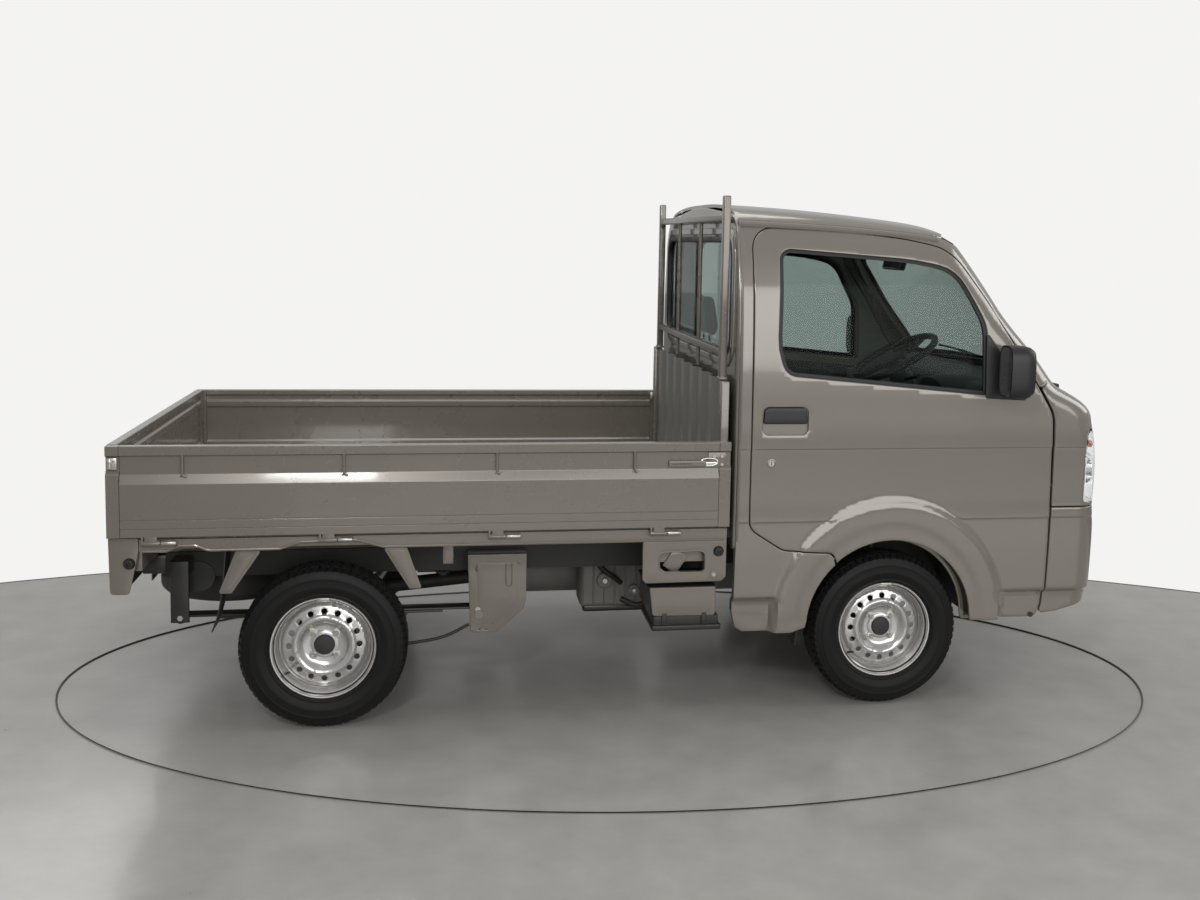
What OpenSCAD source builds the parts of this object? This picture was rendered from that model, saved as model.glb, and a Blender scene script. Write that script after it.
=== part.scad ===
// Kei truck: a small forward-control pickup with a three-way opening load bed.
// Frame: +X to the front, +Y to the left, +Z up. Origin on the ground under the middle of the box.

/* [Overall] */
// Width over the cab and the bed
body_w = 1475; // [1250:5:1700]
// Distance between the axles
wheelbase = 1905; // [1760:5:2150]
// Front axle to the front of the bumper
front_overhang = 820; // [800:5:860]
// Height of the roof at its middle
roof_z = 1752; // [1720:2:1900]

/* [Cab] */
// Length of the cab from its back wall to the bumper
cab_l = 1378; // [1330:2:1500]
// Clearance between cab and bed
cab_gap = 12; // [8:1:30]
// Thickness of a whole door below the window
door_t = 56; // [45:1:70]
// Thickness of the pillars, roof and back wall
wall_t = 34; // [24:1:40]
// Shut line round doors and panels
gap = 6; // [5:0.5:9]
// Shut line in front of a door, at its hinge
hinge_gap = 8.5; // [8:0.5:10]
// Thickness of the window glass
glass_t = 5; // [4:0.5:6]
// Running clearance of seated pieces
seat_gap = 0.3; // [0.2:0.1:0.6]

/* [Load bed] */
// Length of the bed over the gates
bed_l = 1983; // [1850:5:2200]
// Height of the deck above the ground
deck_z = 650; // [630:5:700]
// Height of the gates above the deck
gate_h = 290; // [230:5:350]
// Thickness of a gate
gate_t = 30; // [22:1:34]
// Height of the tips of the guard frame above the ground
guard_z = 1765; // [1760:5:1950]

/* [Wheels] */
// Outer diameter of the tyres
tyre_d = 536; // [500:2:560]
// Width of the tyres
tyre_w = 145; // [125:1:155]
// Diameter of the rim flange
rim_d = 336; // [310:2:350]
// Distance between the front tyre centres
track_f = 1305; // [1290:5:1310]
// Distance between the rear tyre centres
track_r = 1290; // [1270:5:1310]
// Steering lock of the front wheels in degrees
steer_lock = 35; // [25:1:36]

/* [Fittings] */
// Diameter of the steering wheel
helm_d = 370; // [340:5:390]
// Width of a seat cushion
seat_w = 470; // [430:5:500]
// Diameter of the hinge barrels of the gates
barrel_d = 18; // [14:1:20]
// Diameter of the gate hinge pins
hinge_pin_d = 8; // [6:0.5:10]

/* [Hidden] */
$fn = 48;

paint = "#736c61";
black = "#191a1b";
dark_grey = "#3b3d3f";
steel = "#b9bbbc";

// ---- driving places ----
stop_out = 22;                                   // hinges behind the tailgate face
total_l = stop_out + bed_l + cab_gap + cab_l;
cab_x1 = total_l / 2;                            // front of the bumper
cab_x0 = cab_x1 - cab_l;                         // back wall of the cab
bed_x1 = cab_x0 - cab_gap;                       // front end of the bed
bed_x0 = bed_x1 - bed_l;                         // outer face of the tailgate rail
front_axle_x = cab_x1 - front_overhang;
rear_axle_x = front_axle_x - wheelbase;
w = body_w / 2;
tyre_r = tyre_d / 2;
axle_z = tyre_r;                                 // the tyres just touch the ground
front_y = track_f / 2;
rear_y = track_r / 2;
pin_tilt = 10;                                   // lean of the steering axis towards the middle
pin_foot = [front_axle_x, front_y - 52, 195];    // lower ball joint of the left knuckle
pin_dir = [0, -sin(pin_tilt), cos(pin_tilt)];
pin_hub_y = pin_foot[1] - (axle_z - pin_foot[2]) * tan(pin_tilt);
rail_out = pin_hub_y + (front_y - tyre_w / 2 - pin_hub_y) * cos(steer_lock) - tyre_r * sin(steer_lock) - 12;
rail_in = rail_out - 50;

// ---- small helpers ----
module xz(y0, y1) { translate([0, y1, 0]) rotate([90, 0, 0]) linear_extrude(y1 - y0) children(); }
module yz(x0, x1) { translate([x0, 0, 0]) rotate([90, 0, 90]) linear_extrude(x1 - x0) children(); }
module xy(z0, z1) { translate([0, 0, z0]) linear_extrude(z1 - z0) children(); }
module box(x, y, z) { translate([x[0], y[0], z[0]]) cube([x[1] - x[0], y[1] - y[0], z[1] - z[0]]); }
module both() { children(); mirror([0, 1, 0]) children(); }
module rod_y(p, r, l) { translate(p) rotate([90, 0, 0]) cylinder(r = r, h = l, center = true); }
module rod_x(p, r, l) { translate(p) rotate([0, 90, 0]) cylinder(r = r, h = l); }
module rod_z(p, r, l) { translate(p) cylinder(r = r, h = l); }
// A straight round bar between two points
module bar(a, b, r) {
    v = b - a;
    l = norm(v);
    translate(a) rotate([0, acos(v[2] / l), atan2(v[1], v[0])]) cylinder(r = r, h = l);
}
// A rectangle with round corners of radius r, true arcs
module round_rect(a, b, r) {
    translate([a[0] + r, a[1]]) square([b[0] - a[0] - 2 * r, b[1] - a[1]]);
    translate([a[0], a[1] + r]) square([b[0] - a[0], b[1] - a[1] - 2 * r]);
    for (x = [a[0] + r, b[0] - r], y = [a[1] + r, b[1] - r]) translate([x, y]) circle(r);
}
function mirrored(pts) = concat(pts, [for (i = [len(pts) - 1:-1:0]) [-pts[i][0], pts[i][1]]]);

// ---- cab form: side outline, front outline, plan and bowed windscreen ----
sill_z = 268;                                    // lower edge of the cab
waist_z = 1100;                                  // below this the sides stand upright
screen_r = 3200;                                 // bow of the windscreen
screen_foot = [cab_x1 - 150, 1140];              // windscreen foot on the centre line
screen_head = [cab_x1 - 510, roof_z - 97];       // windscreen head on the centre line
nose_r = 100;                                    // plan radius of the front corners
nose_z = 672;                                    // joint of bumper and nose
// Half width by height, from the sill to the middle of the roof
side_curve = [
    [w - 46, sill_z], [w - 40, sill_z + 120], [w - 18, sill_z + 134], [w - 2, 560], [w, 675],
    [w - 1, waist_z - 40], [w - 5, 1210], [w - 10, 1325], [w - 18, 1440], [w - 52, roof_z - 199],
    [w - 76, roof_z - 116], [w - 92, roof_z - 72], [w - 118, roof_z - 46], [w - 165, roof_z - 29],
    [w - 300, roof_z - 10], [w - 480, roof_z - 2],
];
function section(t) = mirrored([for (p = side_curve) [p[0] - t, p[1] - (p[1] > roof_z - 120 ? t : 0)]]);
roof_line = [
    [cab_x0, roof_z], [cab_x0 + 285, roof_z - 11], [cab_x1 - 857, roof_z - 29],
    [cab_x1 - 640, roof_z - 51], [cab_x1 - 560, roof_z - 72], screen_head,
];
nose_line = [
    screen_foot, [cab_x1 - 110, 1114], [cab_x1 - 72, 1076], [cab_x1 - 50, 1032], [cab_x1 - 36, 986],
    [cab_x1 - 18, 930], [cab_x1 - 8, 866], [cab_x1 - 6, 790], [cab_x1 - 12, 704], [cab_x1 - 10, nose_z],
    [cab_x1 - 1, 640], [cab_x1, 600], [cab_x1, 410], [cab_x1 - 14, 352], [cab_x1 - 190, 312],
];
module side_outline(t) {
    offset(delta = -t) polygon(concat([[cab_x0, sill_z]], roof_line, nose_line, [[cab_x1 - 266, 286], [cab_x1 - 290, sill_z]]));
}
bow = 20;                                        // how far the bumper's ends lie behind its middle
nose_mid = [cab_x1 - bow - nose_r, w - nose_r];  // centre of the left corner's arc
plan_half = concat([[cab_x0 - 50, w]],
    [for (a = [0:15:90]) nose_mid + nose_r * [sin(a), cos(a)]],
    [for (k = [0.75:-0.25:0.25]) [cab_x1 - bow * k * k, nose_mid[1] * k]]);
module plan_outline(t) {
    offset(delta = -t) polygon(concat(plan_half, [[cab_x1, 0]],
        [for (i = [len(plan_half) - 1:-1:0]) [plan_half[i][0], -plan_half[i][1]]]));
}
screen_tilt = atan2(screen_head[1] - screen_foot[1], screen_foot[0] - screen_head[0]);
// All that lies behind the bowed windscreen surface, moved in by t
module screen_side_of(t) {
    translate([screen_foot[0], 0, screen_foot[1]]) rotate([0, screen_tilt - 90, 0])
        translate([0, 0, -1500]) linear_extrude(3400) polygon(concat([[-4000, 900], [-4000, -900]],
            [for (y = [-900:90:900]) [-t - y * y / (2 * screen_r), y]]));
}
module cab_form(t) {
    intersection() {
        yz(cab_x0 + t, cab_x1) polygon(section(t));
        xz(-w, w) side_outline(t);
        xy(sill_z - 1, roof_z + 1) plan_outline(t);
        union() {
            screen_side_of(t);
            box([cab_x0, cab_x1], [-w, w], [0, screen_foot[1] - 8 - t]);
        }
    }
}
module cab_shell(t) { difference() { cab_form(0); cab_form(t); } }

// ---- door outline in side view ----
door_x0 = cab_x0 + 52;                           // rear shut line
door_x1 = cab_x1 - 228;                          // front shut line
rail_x1 = door_x1 + 2;                           // front end of the frame rails
door_top = [
    [door_x0 + 7, roof_z - 126], [door_x0 + 58, roof_z - 98], [door_x0 + 103, roof_z - 92],
    [cab_x1 - 967, roof_z - 97], [cab_x1 - 737, roof_z - 119], [cab_x1 - 633, roof_z - 139],
    [cab_x1 - 568, roof_z - 176], [cab_x1 - 467, 1423], [cab_x1 - 363, 1248], [cab_x1 - 285, 1127],
    [cab_x1 - 250, 1071], [door_x1 - 3, 1015],
];
arch_x = front_axle_x + 8;
arch_z = axle_z + 22;
arch_r = tyre_r + 32;
door_step_x = arch_x - 205;                      // where the shut line meets the arch
module arch(extra) {
    translate([arch_x, arch_z]) circle(arch_r + extra);
    translate([arch_x - arch_r - extra, 0]) square([2 * (arch_r + extra), arch_z]);
}
module door_outline(inset) {
    difference() {
        offset(delta = -inset) polygon(concat(
            [[door_x0, 656], [door_x0, 1250]], door_top,
            [[door_x1, 900], [door_x1 - 2, sill_z - 5], [arch_x + 100, sill_z - 5], [arch_x - 150, 548],
             [door_step_x + 20, 556], [door_x0 + 122, 558], [door_x0 + 42, 600]]));
        arch(inset);
    }
}
module window_outline(inset) {
    offset(delta = -inset) polygon([
        [cab_x0 + 150, roof_z - 205], [cab_x0 + 165, roof_z - 172], [cab_x0 + 210, roof_z - 163],
        [cab_x0 + 395, roof_z - 168], [cab_x1 - 749, roof_z - 190], [cab_x1 - 656, roof_z - 205],
        [cab_x1 - 590, roof_z - 248], [cab_x1 - 529, 1417], [cab_x1 - 489, 1335], [cab_x1 - 486, 1104],
        [cab_x0 + 597, 1137], [cab_x0 + 178, 1163], [cab_x0 + 150, 1184], [cab_x0 + 142, 1215],
    ]);
}

module door_zone_cut() { both() xz(-w - 5, -w + 330) door_outline(0); }

// ---- cab panels ----
screen_side = [[w - 120, 1160], [w - 112, 1200], [w - 168, roof_z - 150], [w - 190, roof_z - 118], [w - 240, roof_z - 106]];
module screen_region(inset) {
    offset(delta = -inset) polygon(mirrored(concat([[w - 180, 1146]], screen_side, [[w - 480, roof_z - 98]])));
}
rear_glass = [[-w + 128, 1216], [w - 128, roof_z - 132]];   // rear window corners
lamp_z = [704, 980];
roof_side = 150;                                 // roof panel edge in from the side
module nose_zone(z0, z1) {
    box([door_x1 + hinge_gap, cab_x1 + 5], [-w - 5, w + 5], [z0, z1]);
}
module lamp_zone(inset) {
    both() box([cab_x1 - 112 + inset, cab_x1 + 10], [-w - 5, -w + 215 - inset],
               [lamp_z[0] + inset, lamp_z[1] - inset]);
}
module cab_frame() {
    color(paint) difference() {
        cab_shell(wall_t);
        door_zone_cut();
        both() xz(-w - 5, -w + 330) translate([door_x1 - 10, sill_z - 5]) square([hinge_gap + 11.4, 1040 - sill_z]);
        both() xz(-w - 5, -w + 330) arch(0);
        nose_zone(0, screen_foot[1] + 22);
        box([cab_x0 - 5, cab_x0 + wall_t], [-w + 60, w - 60], [0, roof_z - 60]);
        roof_zone(0);
        yz(screen_head[0] - 20, cab_x1) screen_region(0);
        box([cab_x0 - 5, door_x1 + hinge_gap], [-w + 110, w - 110], [0, 400]);
        box([cab_x0 - 5, cab_x0 + 60], [-w + 110, w - 110], [0, 560 - seat_gap]);
    }
}
module roof_zone(inset) {
    box([cab_x0 + wall_t + 16 + inset, screen_head[0] - 30 - inset], [-w + roof_side + inset, w - roof_side - inset],
        [roof_z - 80, roof_z + 10]);
}
module roof_panel() {
    color(paint) intersection() {
        cab_shell(wall_t);
        roof_zone(seat_gap);
    }
}
module cab_back() {
    color(paint) difference() {
        box([cab_x0, cab_x0 + wall_t - seat_gap], [-w + 60 + seat_gap, w - 60 - seat_gap],
            [560, roof_z - 60 - seat_gap]);
        yz(cab_x0 - 5, cab_x0 + 60) round_rect(rear_glass[0], rear_glass[1], 60);
    }
}
module rear_window() {
    color("#8aa09a", 0.4) yz(cab_x0 + 10, cab_x0 + 10 + glass_t)
        round_rect([rear_glass[0][0] + seat_gap, rear_glass[0][1] + seat_gap],
                   [rear_glass[1][0] - seat_gap, rear_glass[1][1] - seat_gap], 60 - seat_gap);
}
module windscreen() {
    color("#8aa09a", 0.4) intersection() {
        difference() { cab_form(6); cab_form(6 + glass_t); }
        yz(screen_head[0] - 20, cab_x1) screen_region(seat_gap);
    }
}
module front_panel() {
    color(paint) difference() {
        cab_shell(26);
        box([cab_x0 - 5, door_x1 + hinge_gap], [-w - 5, w + 5], [0, roof_z + 5]);
        nose_zone(0, nose_z);
        nose_zone(screen_foot[1] + 22 - seat_gap, roof_z + 5);
        yz(screen_head[0] - 20, cab_x1) screen_region(0);
        lamp_zone(0);
    }
    color(paint) both() for (z = door_hinge_z) hinge_neck(z);
}
module front_bumper() {
    color(paint) difference() {
        cab_shell(26);
        box([cab_x0 - 5, door_x1 + hinge_gap], [-w - 5, w + 5], [0, roof_z + 5]);
        nose_zone(nose_z - seat_gap, roof_z + 5);
        box([cab_x1 - 40, cab_x1 + 5], [-w + 330, w - 330], [392, 500]);
    }
    // stays to the ends of the frame rails
    color(paint) both() box([rail_x1 + seat_gap, cab_x1 - 24], [-rail_out, -rail_in], [335, 375]);
}
module headlamps() {
    color("#dfe5e8") intersection() {
        difference() { cab_form(1); cab_form(60); }
        lamp_zone(seat_gap);
    }
}
// ---- doors, drawn for the right side ----
door_pin = [door_x1 - hinge_gap + 1, -w + hinge_gap - 1];
module door_shape() {
    difference() {
        intersection() {
            cab_shell(door_t);
            xz(-w - 5, -w + 300) door_outline(gap);
            yz(0, cab_x1) polygon([
                [-w - 5, 0], [-w + door_t, 0], [-w + door_t, waist_z], [-w + 200, roof_z], [-w - 5, roof_z]]);
        }
        xz(-w - 5, -w + 300) window_outline(0);
        handle_recess();
        for (z = door_hinge_z) hinge_pocket(z);
    }
}
door_hinge_z = [700, 910];
door_pin_r = 3.4;
neck_h = 50;
// Room in the front edge of the door for a hinge neck, and the bore for its pin
module hinge_pocket(z) {
    box([door_pin[0] - 7, door_x1 + 1], [door_pin[1] - 4, -w + door_t + 1], [z - 5, z + neck_h + 5]);
    rod_z([door_pin[0], door_pin[1], z - 22], door_pin_r + 0.05, neck_h + 44);
}
// Swan neck of the front panel, with the hinge pin
module hinge_neck(z) {
    box([door_pin[0] - door_pin_r, door_pin[0] + door_pin_r], [door_pin[1], -w + 38], [z, z + neck_h]);
    box([door_pin[0] - door_pin_r, door_x1 + 30], [-w + 24, -w + 38], [z, z + neck_h]);
    rod_z([door_pin[0], door_pin[1], z - 20], door_pin_r, neck_h + 40);
}
handle_x = cab_x0 + 92;
module handle_recess() {
    box([handle_x, handle_x + 155], [-w - 1, -w + 28], [963, 1059]);
}
module door_glass_shape() {
    intersection() {
        difference() { cab_form(22); cab_form(22 + glass_t); }
        xz(-w - 5, -w + 300) window_outline(seat_gap);
    }
}
module door_right() { color(paint) door_shape(); }
module door_left() { color(paint) mirror([0, 1, 0]) door_shape(); }
module door_glass_right() { color("#8aa09a", 0.4) door_glass_shape(); }
module door_glass_left() { color("#8aa09a", 0.4) mirror([0, 1, 0]) door_glass_shape(); }
// Door mirror: a rounded housing on two arms from the lower front corner of the window
mirror_x = cab_x1 - 442;
module mirror_shape() {
    translate([mirror_x, -w - 85, 1190]) rotate([90, 0, 96]) linear_extrude(34, center = true)
        round_rect([-66, -92], [66, 92], 28);
    difference() {
        union() {
            bar([mirror_x + 10, -w - 60, 1165], [mirror_x + 92, -w + 16, 1150], 9);
            bar([mirror_x + 10, -w - 60, 1225], [mirror_x + 60, -w + 16, 1215], 7);
            box([mirror_x + 40, mirror_x + 110], [-w - 8, -w + 10], [1120, 1235]);
        }
        cab_form(-seat_gap);
    }
}
module mirror_right() { color(black) mirror_shape(); }
module mirror_left() { color(black) mirror([0, 1, 0]) mirror_shape(); }

// ---- cab inside ----
floor_z = 400;
seat_deck_z = 612;
step_x = arch_x + arch_r + 26;                   // riser between foot well and seats
module cab_floor() {
    color(dark_grey) {
        box([step_x, cab_x1 - 70], [-w + 70, w - 70], [floor_z - 12, floor_z]);
        box([step_x - 12, step_x], [-w + 70, w - 70], [floor_z - 12, seat_deck_z]);
        box([cab_x0 + wall_t, step_x - 12], [-w + 64, w - 64], [seat_deck_z - 8, seat_deck_z]);
        // mounts on the frame rails
        both() {
            rod_z([cab_x1 - 320, -rail_in - 25, rail_z[0] + seat_gap], 22, floor_z - rail_z[0] - 1);
            box([cab_x0 + 70, cab_x0 + 130], [-rail_out, -rail_in], [rail_z[1] + seat_gap, seat_deck_z - 8]);
        }
    }
}
helm = [cab_x1 - 695, -350, 1190];               // centre of the steering wheel
helm_tilt = 29;                                  // its plane rises to the front by this angle
helm_dir = [-sin(helm_tilt), 0, cos(helm_tilt)];
module on_column() { translate(helm) rotate([0, -helm_tilt, 0]) children(); }
module steering_wheel() {
    color(black) on_column() {
        rotate_extrude() translate([helm_d / 2 - 13, 0]) circle(13);
        difference() {
            translate([0, 0, -34]) cylinder(r = 52, h = 34);
            translate([0, 0, -35]) cylinder(r = 11.05, h = 25);
        }
        for (a = [20, 160, 270]) rotate([0, 0, a]) translate([30, -14, -20]) cube([helm_d / 2 - 48, 28, 12]);
    }
}
module dash_profile() {
    polygon([[cab_x1 - 430, 860], [cab_x1 - 560, 930], [cab_x1 - 560, 1080], [cab_x1 - 520, 1124],
             [cab_x1 - 470, 1134], [cab_x1 - 240, 1098], [cab_x1 - 170, 1040], [cab_x1 - 150, 860]]);
}
module dashboard() {
    color(dark_grey) difference() {
        xz(-w + 104.3, w - 104.3) dash_profile();
        on_column() translate([0, 0, -900]) cylinder(r = 34, h = 1000);
        box([cab_x1 - 565, cab_x1 - 430], [120, 470], [940, 1010]);
    }
}
module seat_shape() {
    xz(-seat_w / 2, seat_w / 2)
        round_rect([cab_x0 + 200, seat_deck_z + seat_gap], [cab_x0 + 660, seat_deck_z + 130], 40);
    translate([cab_x0 + 240, 0, seat_deck_z + 125]) rotate([0, -9, 0]) {
        yz(-80, 10) round_rect([-seat_w / 2 + 8, -10], [seat_w / 2 - 8, 470], 50);
        yz(-62, -8) round_rect([-120, 500], [120, 670], 45);
        for (y = [-55, 55]) rod_z([-36, y, 465], 6, 40);
    }
}
module driver_seat() { color("#5d6166") translate([0, -340, 0]) seat_shape(); }
module passenger_seat() { color("#5d6166") translate([0, 340, 0]) seat_shape(); }
module cab_controls() {
    color(black) {
        // steering column, from the wheel down to the floor
        difference() {
            on_column() translate([0, 0, -860]) cylinder(r = 11, h = 848);
            box([0, 4000], [-1000, 1000], [0, floor_z + seat_gap]);
        }
        on_column() difference() {
            translate([0, 0, -330]) cylinder(r = 33, h = 285);
            translate([0, 0, -331]) cylinder(r = 11.5, h = 287);
        }
        // pedals on their arms, hung from under the dash
        for (y = [-480, -370, -250]) {
            bar([cab_x1 - 232, y, 859.5], [cab_x1 - 230, y, 520], 7);
            box([cab_x1 - 245, cab_x1 - 222], [y - 30, y + 30], [480, 545]);
        }
        // gear lever and hand brake
        bar([cab_x0 + 720, 0, seat_deck_z + 1.5], [cab_x0 + 760, -20, seat_deck_z + 250], 7);
        translate([cab_x0 + 760, -20, seat_deck_z + 262]) sphere(22);
        bar([cab_x0 + 500, 60, seat_deck_z + 11.6], [cab_x0 + 720, 60, seat_deck_z + 60], 11);
        // inside mirror under the roof header
        bar([screen_head[0] - 40, 0, roof_z - 118.2], [screen_head[0] - 50, 0, roof_z - 180], 6);
        translate([screen_head[0] - 58, 0, roof_z - 208]) rotate([0, 15, 0]) yz(-10, 8) round_rect([-110, -30], [110, 30], 20);
    }
}

// ---- running gear ----
stub_r = 14;
drop_r = rim_d / 2 - 18;
module rim_2d() {
    polygon([[drop_r - 6, -52], [rim_d / 2, -52], [rim_d / 2, -57], [drop_r - 12, -57], [drop_r - 18, -40],
             [drop_r - 18, 40], [drop_r - 12, 57], [rim_d / 2, 57], [rim_d / 2, 52], [drop_r - 6, 52],
             [drop_r - 12, 40], [drop_r - 12, -40]]);
    polygon([[drop_r - 17, 14], [drop_r - 17, 20], [98, 32], [66, 32], [56, 20], [stub_r + 0.05, 20],
             [stub_r + 0.05, -18], [40, -18], [58, 4], [64, 26], [96, 26]]);
}
module rim() {
    difference() {
        rotate_extrude() rim_2d();
        for (a = [0:22.5:337.5]) rotate([0, 0, a]) translate([117, 0, 0]) cylinder(r = 8.5, h = 40);
        for (a = [45:90:315]) rotate([0, 0, a]) translate([50, 0, -20]) cylinder(r = 6, h = 60);
    }
}
module tyre() {
    half = tyre_w / 2;
    rim_r = rim_d / 2;
    rotate_extrude() difference() {
        polygon([[drop_r - 5.5, -51.5], [rim_r + 2, -51.5], [rim_r + 22, -half + 3], [rim_r + 45, -half],
                 [tyre_r - 42, -half + 2], [tyre_r - 14, -half + 12], [tyre_r - 3, -half + 24], [tyre_r, -half + 34],
                 [tyre_r, half - 34], [tyre_r - 3, half - 24], [tyre_r - 14, half - 12], [tyre_r - 42, half - 2],
                 [rim_r + 45, half], [rim_r + 22, half - 3], [rim_r + 2, 51.5], [drop_r - 5.5, 51.5]]);
        polygon([[drop_r - 6, -38], [rim_r, -38], [rim_r + 24, -half + 14], [tyre_r - 40, -half + 14],
                 [tyre_r - 14, -half + 30], [tyre_r - 14, half - 30], [tyre_r - 40, half - 14],
                 [rim_r + 24, half - 14], [rim_r, 38], [drop_r - 6, 38]]);
    }
}
module at_wheel(x, y) { translate([x, y, axle_z]) rotate([-sign(y) * 90, 0, 0]) children(); }
module wheel_front_left() { color(steel) at_wheel(front_axle_x, front_y) rim(); }
module wheel_front_right() { color(steel) at_wheel(front_axle_x, -front_y) rim(); }
module wheel_rear_left() { color(steel) at_wheel(rear_axle_x, rear_y) rim(); }
module wheel_rear_right() { color(steel) at_wheel(rear_axle_x, -rear_y) rim(); }
module tyre_front_left() { color(black) at_wheel(front_axle_x, front_y) tyre(); }
module tyre_front_right() { color(black) at_wheel(front_axle_x, -front_y) tyre(); }
module tyre_rear_left() { color(black) at_wheel(rear_axle_x, rear_y) tyre(); }
module tyre_rear_right() { color(black) at_wheel(rear_axle_x, -rear_y) tyre(); }

ball_r = 8;                                      // pin of the lower ball joint
module along_pin() { translate(pin_foot) rotate([pin_tilt, 0, 0]) children(); }
module knuckle_shape() {
    difference() {
        union() {
            translate([front_axle_x, front_y - 24, axle_z]) rotate([90, 0, 0]) cylinder(r = 52, h = 44);
            translate([front_axle_x, front_y + 19, axle_z]) rotate([90, 0, 0]) cylinder(r = stub_r, h = 60);
            along_pin() translate([0, 0, 30]) cylinder(r = 24, h = 240);
            box([front_axle_x - 20, front_axle_x + 20], [front_y - 92, front_y - 40], [225, 320]);
            // steering arm to the front
            box([front_axle_x, front_axle_x + 110], [front_y - 86, front_y - 66], [232, 250]);
        }
        along_pin() translate([0, 0, 120]) cylinder(r = 16, h = 200);
    }
    along_pin() translate([0, 0, -8]) cylinder(r = ball_r, h = 40);
}
module knuckle_left() { color(dark_grey) knuckle_shape(); }
module knuckle_right() { color(dark_grey) mirror([0, 1, 0]) knuckle_shape(); }
module front_suspension() {
    color(dark_grey) {
        box([front_axle_x - 60, front_axle_x + 60], [-rail_out, rail_out], [185, 225]);
        both() {
            box([front_axle_x - 30, front_axle_x + 30], [-rail_out, -rail_in], [225, 440 - seat_gap]);
            // lower arm with its ball joint cup
            difference() {
                union() {
                    xy(183, 197) polygon([
                        [front_axle_x + 20, -pin_foot[1] - 14], [front_axle_x - 20, -pin_foot[1] - 14],
                        [front_axle_x - 55, -rail_out], [front_axle_x + 55, -rail_out]]);
                    rod_z([front_axle_x, -pin_foot[1], 178], 24, 24);
                }
                mirror([0, 1, 0]) along_pin() translate([0, 0, -40]) cylinder(r = ball_r + 0.06, h = 90);
            }
            // strut rod and its tower
            mirror([0, 1, 0]) along_pin() translate([0, 0, 130]) cylinder(r = 10, h = 262);
            box([front_axle_x - 60, front_axle_x + 60], [-pin_foot[1] + 20, -rail_in], [572, 584]);
            box([front_axle_x - 60, front_axle_x + 60], [-rail_out, -rail_in], [525 + seat_gap, 584]);
        }
        for (y = [-200, 200]) box([front_axle_x + 50, front_axle_x + 110], [y - 15, y + 15], [205, 262]);
        // steering rack housing
        rod_y([front_axle_x + 110, 0, 262], 22, 2 * rail_out - 4);
    }
}
module rear_axle() {
    color(dark_grey) {
        rod_y([rear_axle_x, 0, axle_z], 32, 2 * rear_y - 150);
        translate([rear_axle_x, 0, axle_z]) sphere(90);
        rod_x([rear_axle_x + 60, 0, axle_z], 45, 80);
        bar([rear_axle_x + 130, 0, axle_z + 2], [gearbox_x0 - 3, 0, 322], 26);
        both() {
            rod_y([rear_axle_x, -rear_y + 62, axle_z], 100, 50);
            rod_y([rear_axle_x, -rear_y + 10, axle_z], stub_r, 60);
            box([rear_axle_x - 45, rear_axle_x + 45], [-spring_y - 32, -spring_y + 32], [axle_z + 20, spring_z]);
            box([rear_axle_x, rear_axle_x + 100], [-rail_in + 10, -rail_in + 50], [238, 249]);
        }
    }
}
spring_y = rail_out + 48;
spring_z = axle_z + 36;
gearbox_x0 = bed_x1 - 640;
module leaf_springs() {
    color(dark_grey) both() {
        // pack of three leaves, stepped in length
        for (i = [0:2])
            box([rear_axle_x - 480 + 120 * (2 - i), rear_axle_x + 500 - 120 * (2 - i)],
                [-spring_y - 28, -spring_y + 28], [spring_z + 8 * i, spring_z + 8 * i + 8]);
        rod_y([rear_axle_x + 500, -spring_y, spring_z + 16], 22, 56);
        rod_y([rear_axle_x - 480, -spring_y, spring_z + 16], 22, 56);
        // front hanger under the rail and rear shackle
        xz(-spring_y - 36, -spring_y - 28.5) polygon([
            [rear_axle_x + 474, 236], [rear_axle_x + 568, 236], [rear_axle_x + 668, 330],
            [rear_axle_x + 668, 515], [rear_axle_x + 463, 515]]);
        box([rear_axle_x + 463, rear_axle_x + 668], [-spring_y - 36, -rail_out - seat_gap], [450, 515]);
        box([rear_axle_x - 510, rear_axle_x - 450], [-spring_y - 36, -spring_y - 28.5], [spring_z, 515]);
        box([rear_axle_x - 510, rear_axle_x - 450], [-spring_y - 36, -rail_out - seat_gap], [460, 515]);
        // shock absorber
        bar([rear_axle_x + 70, -rail_in + 30, 262], [rear_axle_x + 190, -rail_in + 30, 442], 22);
    }
}
engine_x = [cab_x0 + 50, cab_x0 + 480];
module engine_block() {
    color("#6f7173") box(engine_x, [-235, 235], [292, seat_deck_z - 20]);
}
module gearbox() {
    color("#6f7173") {
        yz(bed_x1 - 260, engine_x[0] - seat_gap) translate([0, 330]) circle(118);
        yz(gearbox_x0, bed_x1 - 260) translate([0, 325]) circle(85);
    }
}
module exhaust() {
    color("#8a8178") {
        rod_x([rear_axle_x + 280, 210, 330], 62, 420);
        rod_x([rear_axle_x + 690, 210, 330], 19, engine_x[0] - rear_axle_x - 690 - seat_gap);
        rod_x([rear_axle_x - 610, 250, 340], 18, 900);
    }
}
module fuel_tank() {
    color(dark_grey) yz(bed_x1 - 640, bed_x1 - 120) round_rect([rail_out + 8, 262], [w - 70, 470], 34);
    color(dark_grey) box([bed_x1 - 560, bed_x1 - 520], [rail_out + seat_gap, w - 90], [470 - 4, 478]);
}
spare = [rear_axle_x - 362, -40, 378];
module spare_wheel() {
    color(black) translate(spare) {
        rim();
        tyre();
    }
    color(dark_grey) {
        rod_z([spare[0], spare[1], spare[2] - 20], 12, cross_z[0] - spare[2] + 20 - seat_gap);
        rod_z([spare[0], spare[1], spare[2] - 26], 48, 8 - seat_gap);
    }
}
battery_x = [bed_x1 - 270, bed_x1 - 32];
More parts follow.
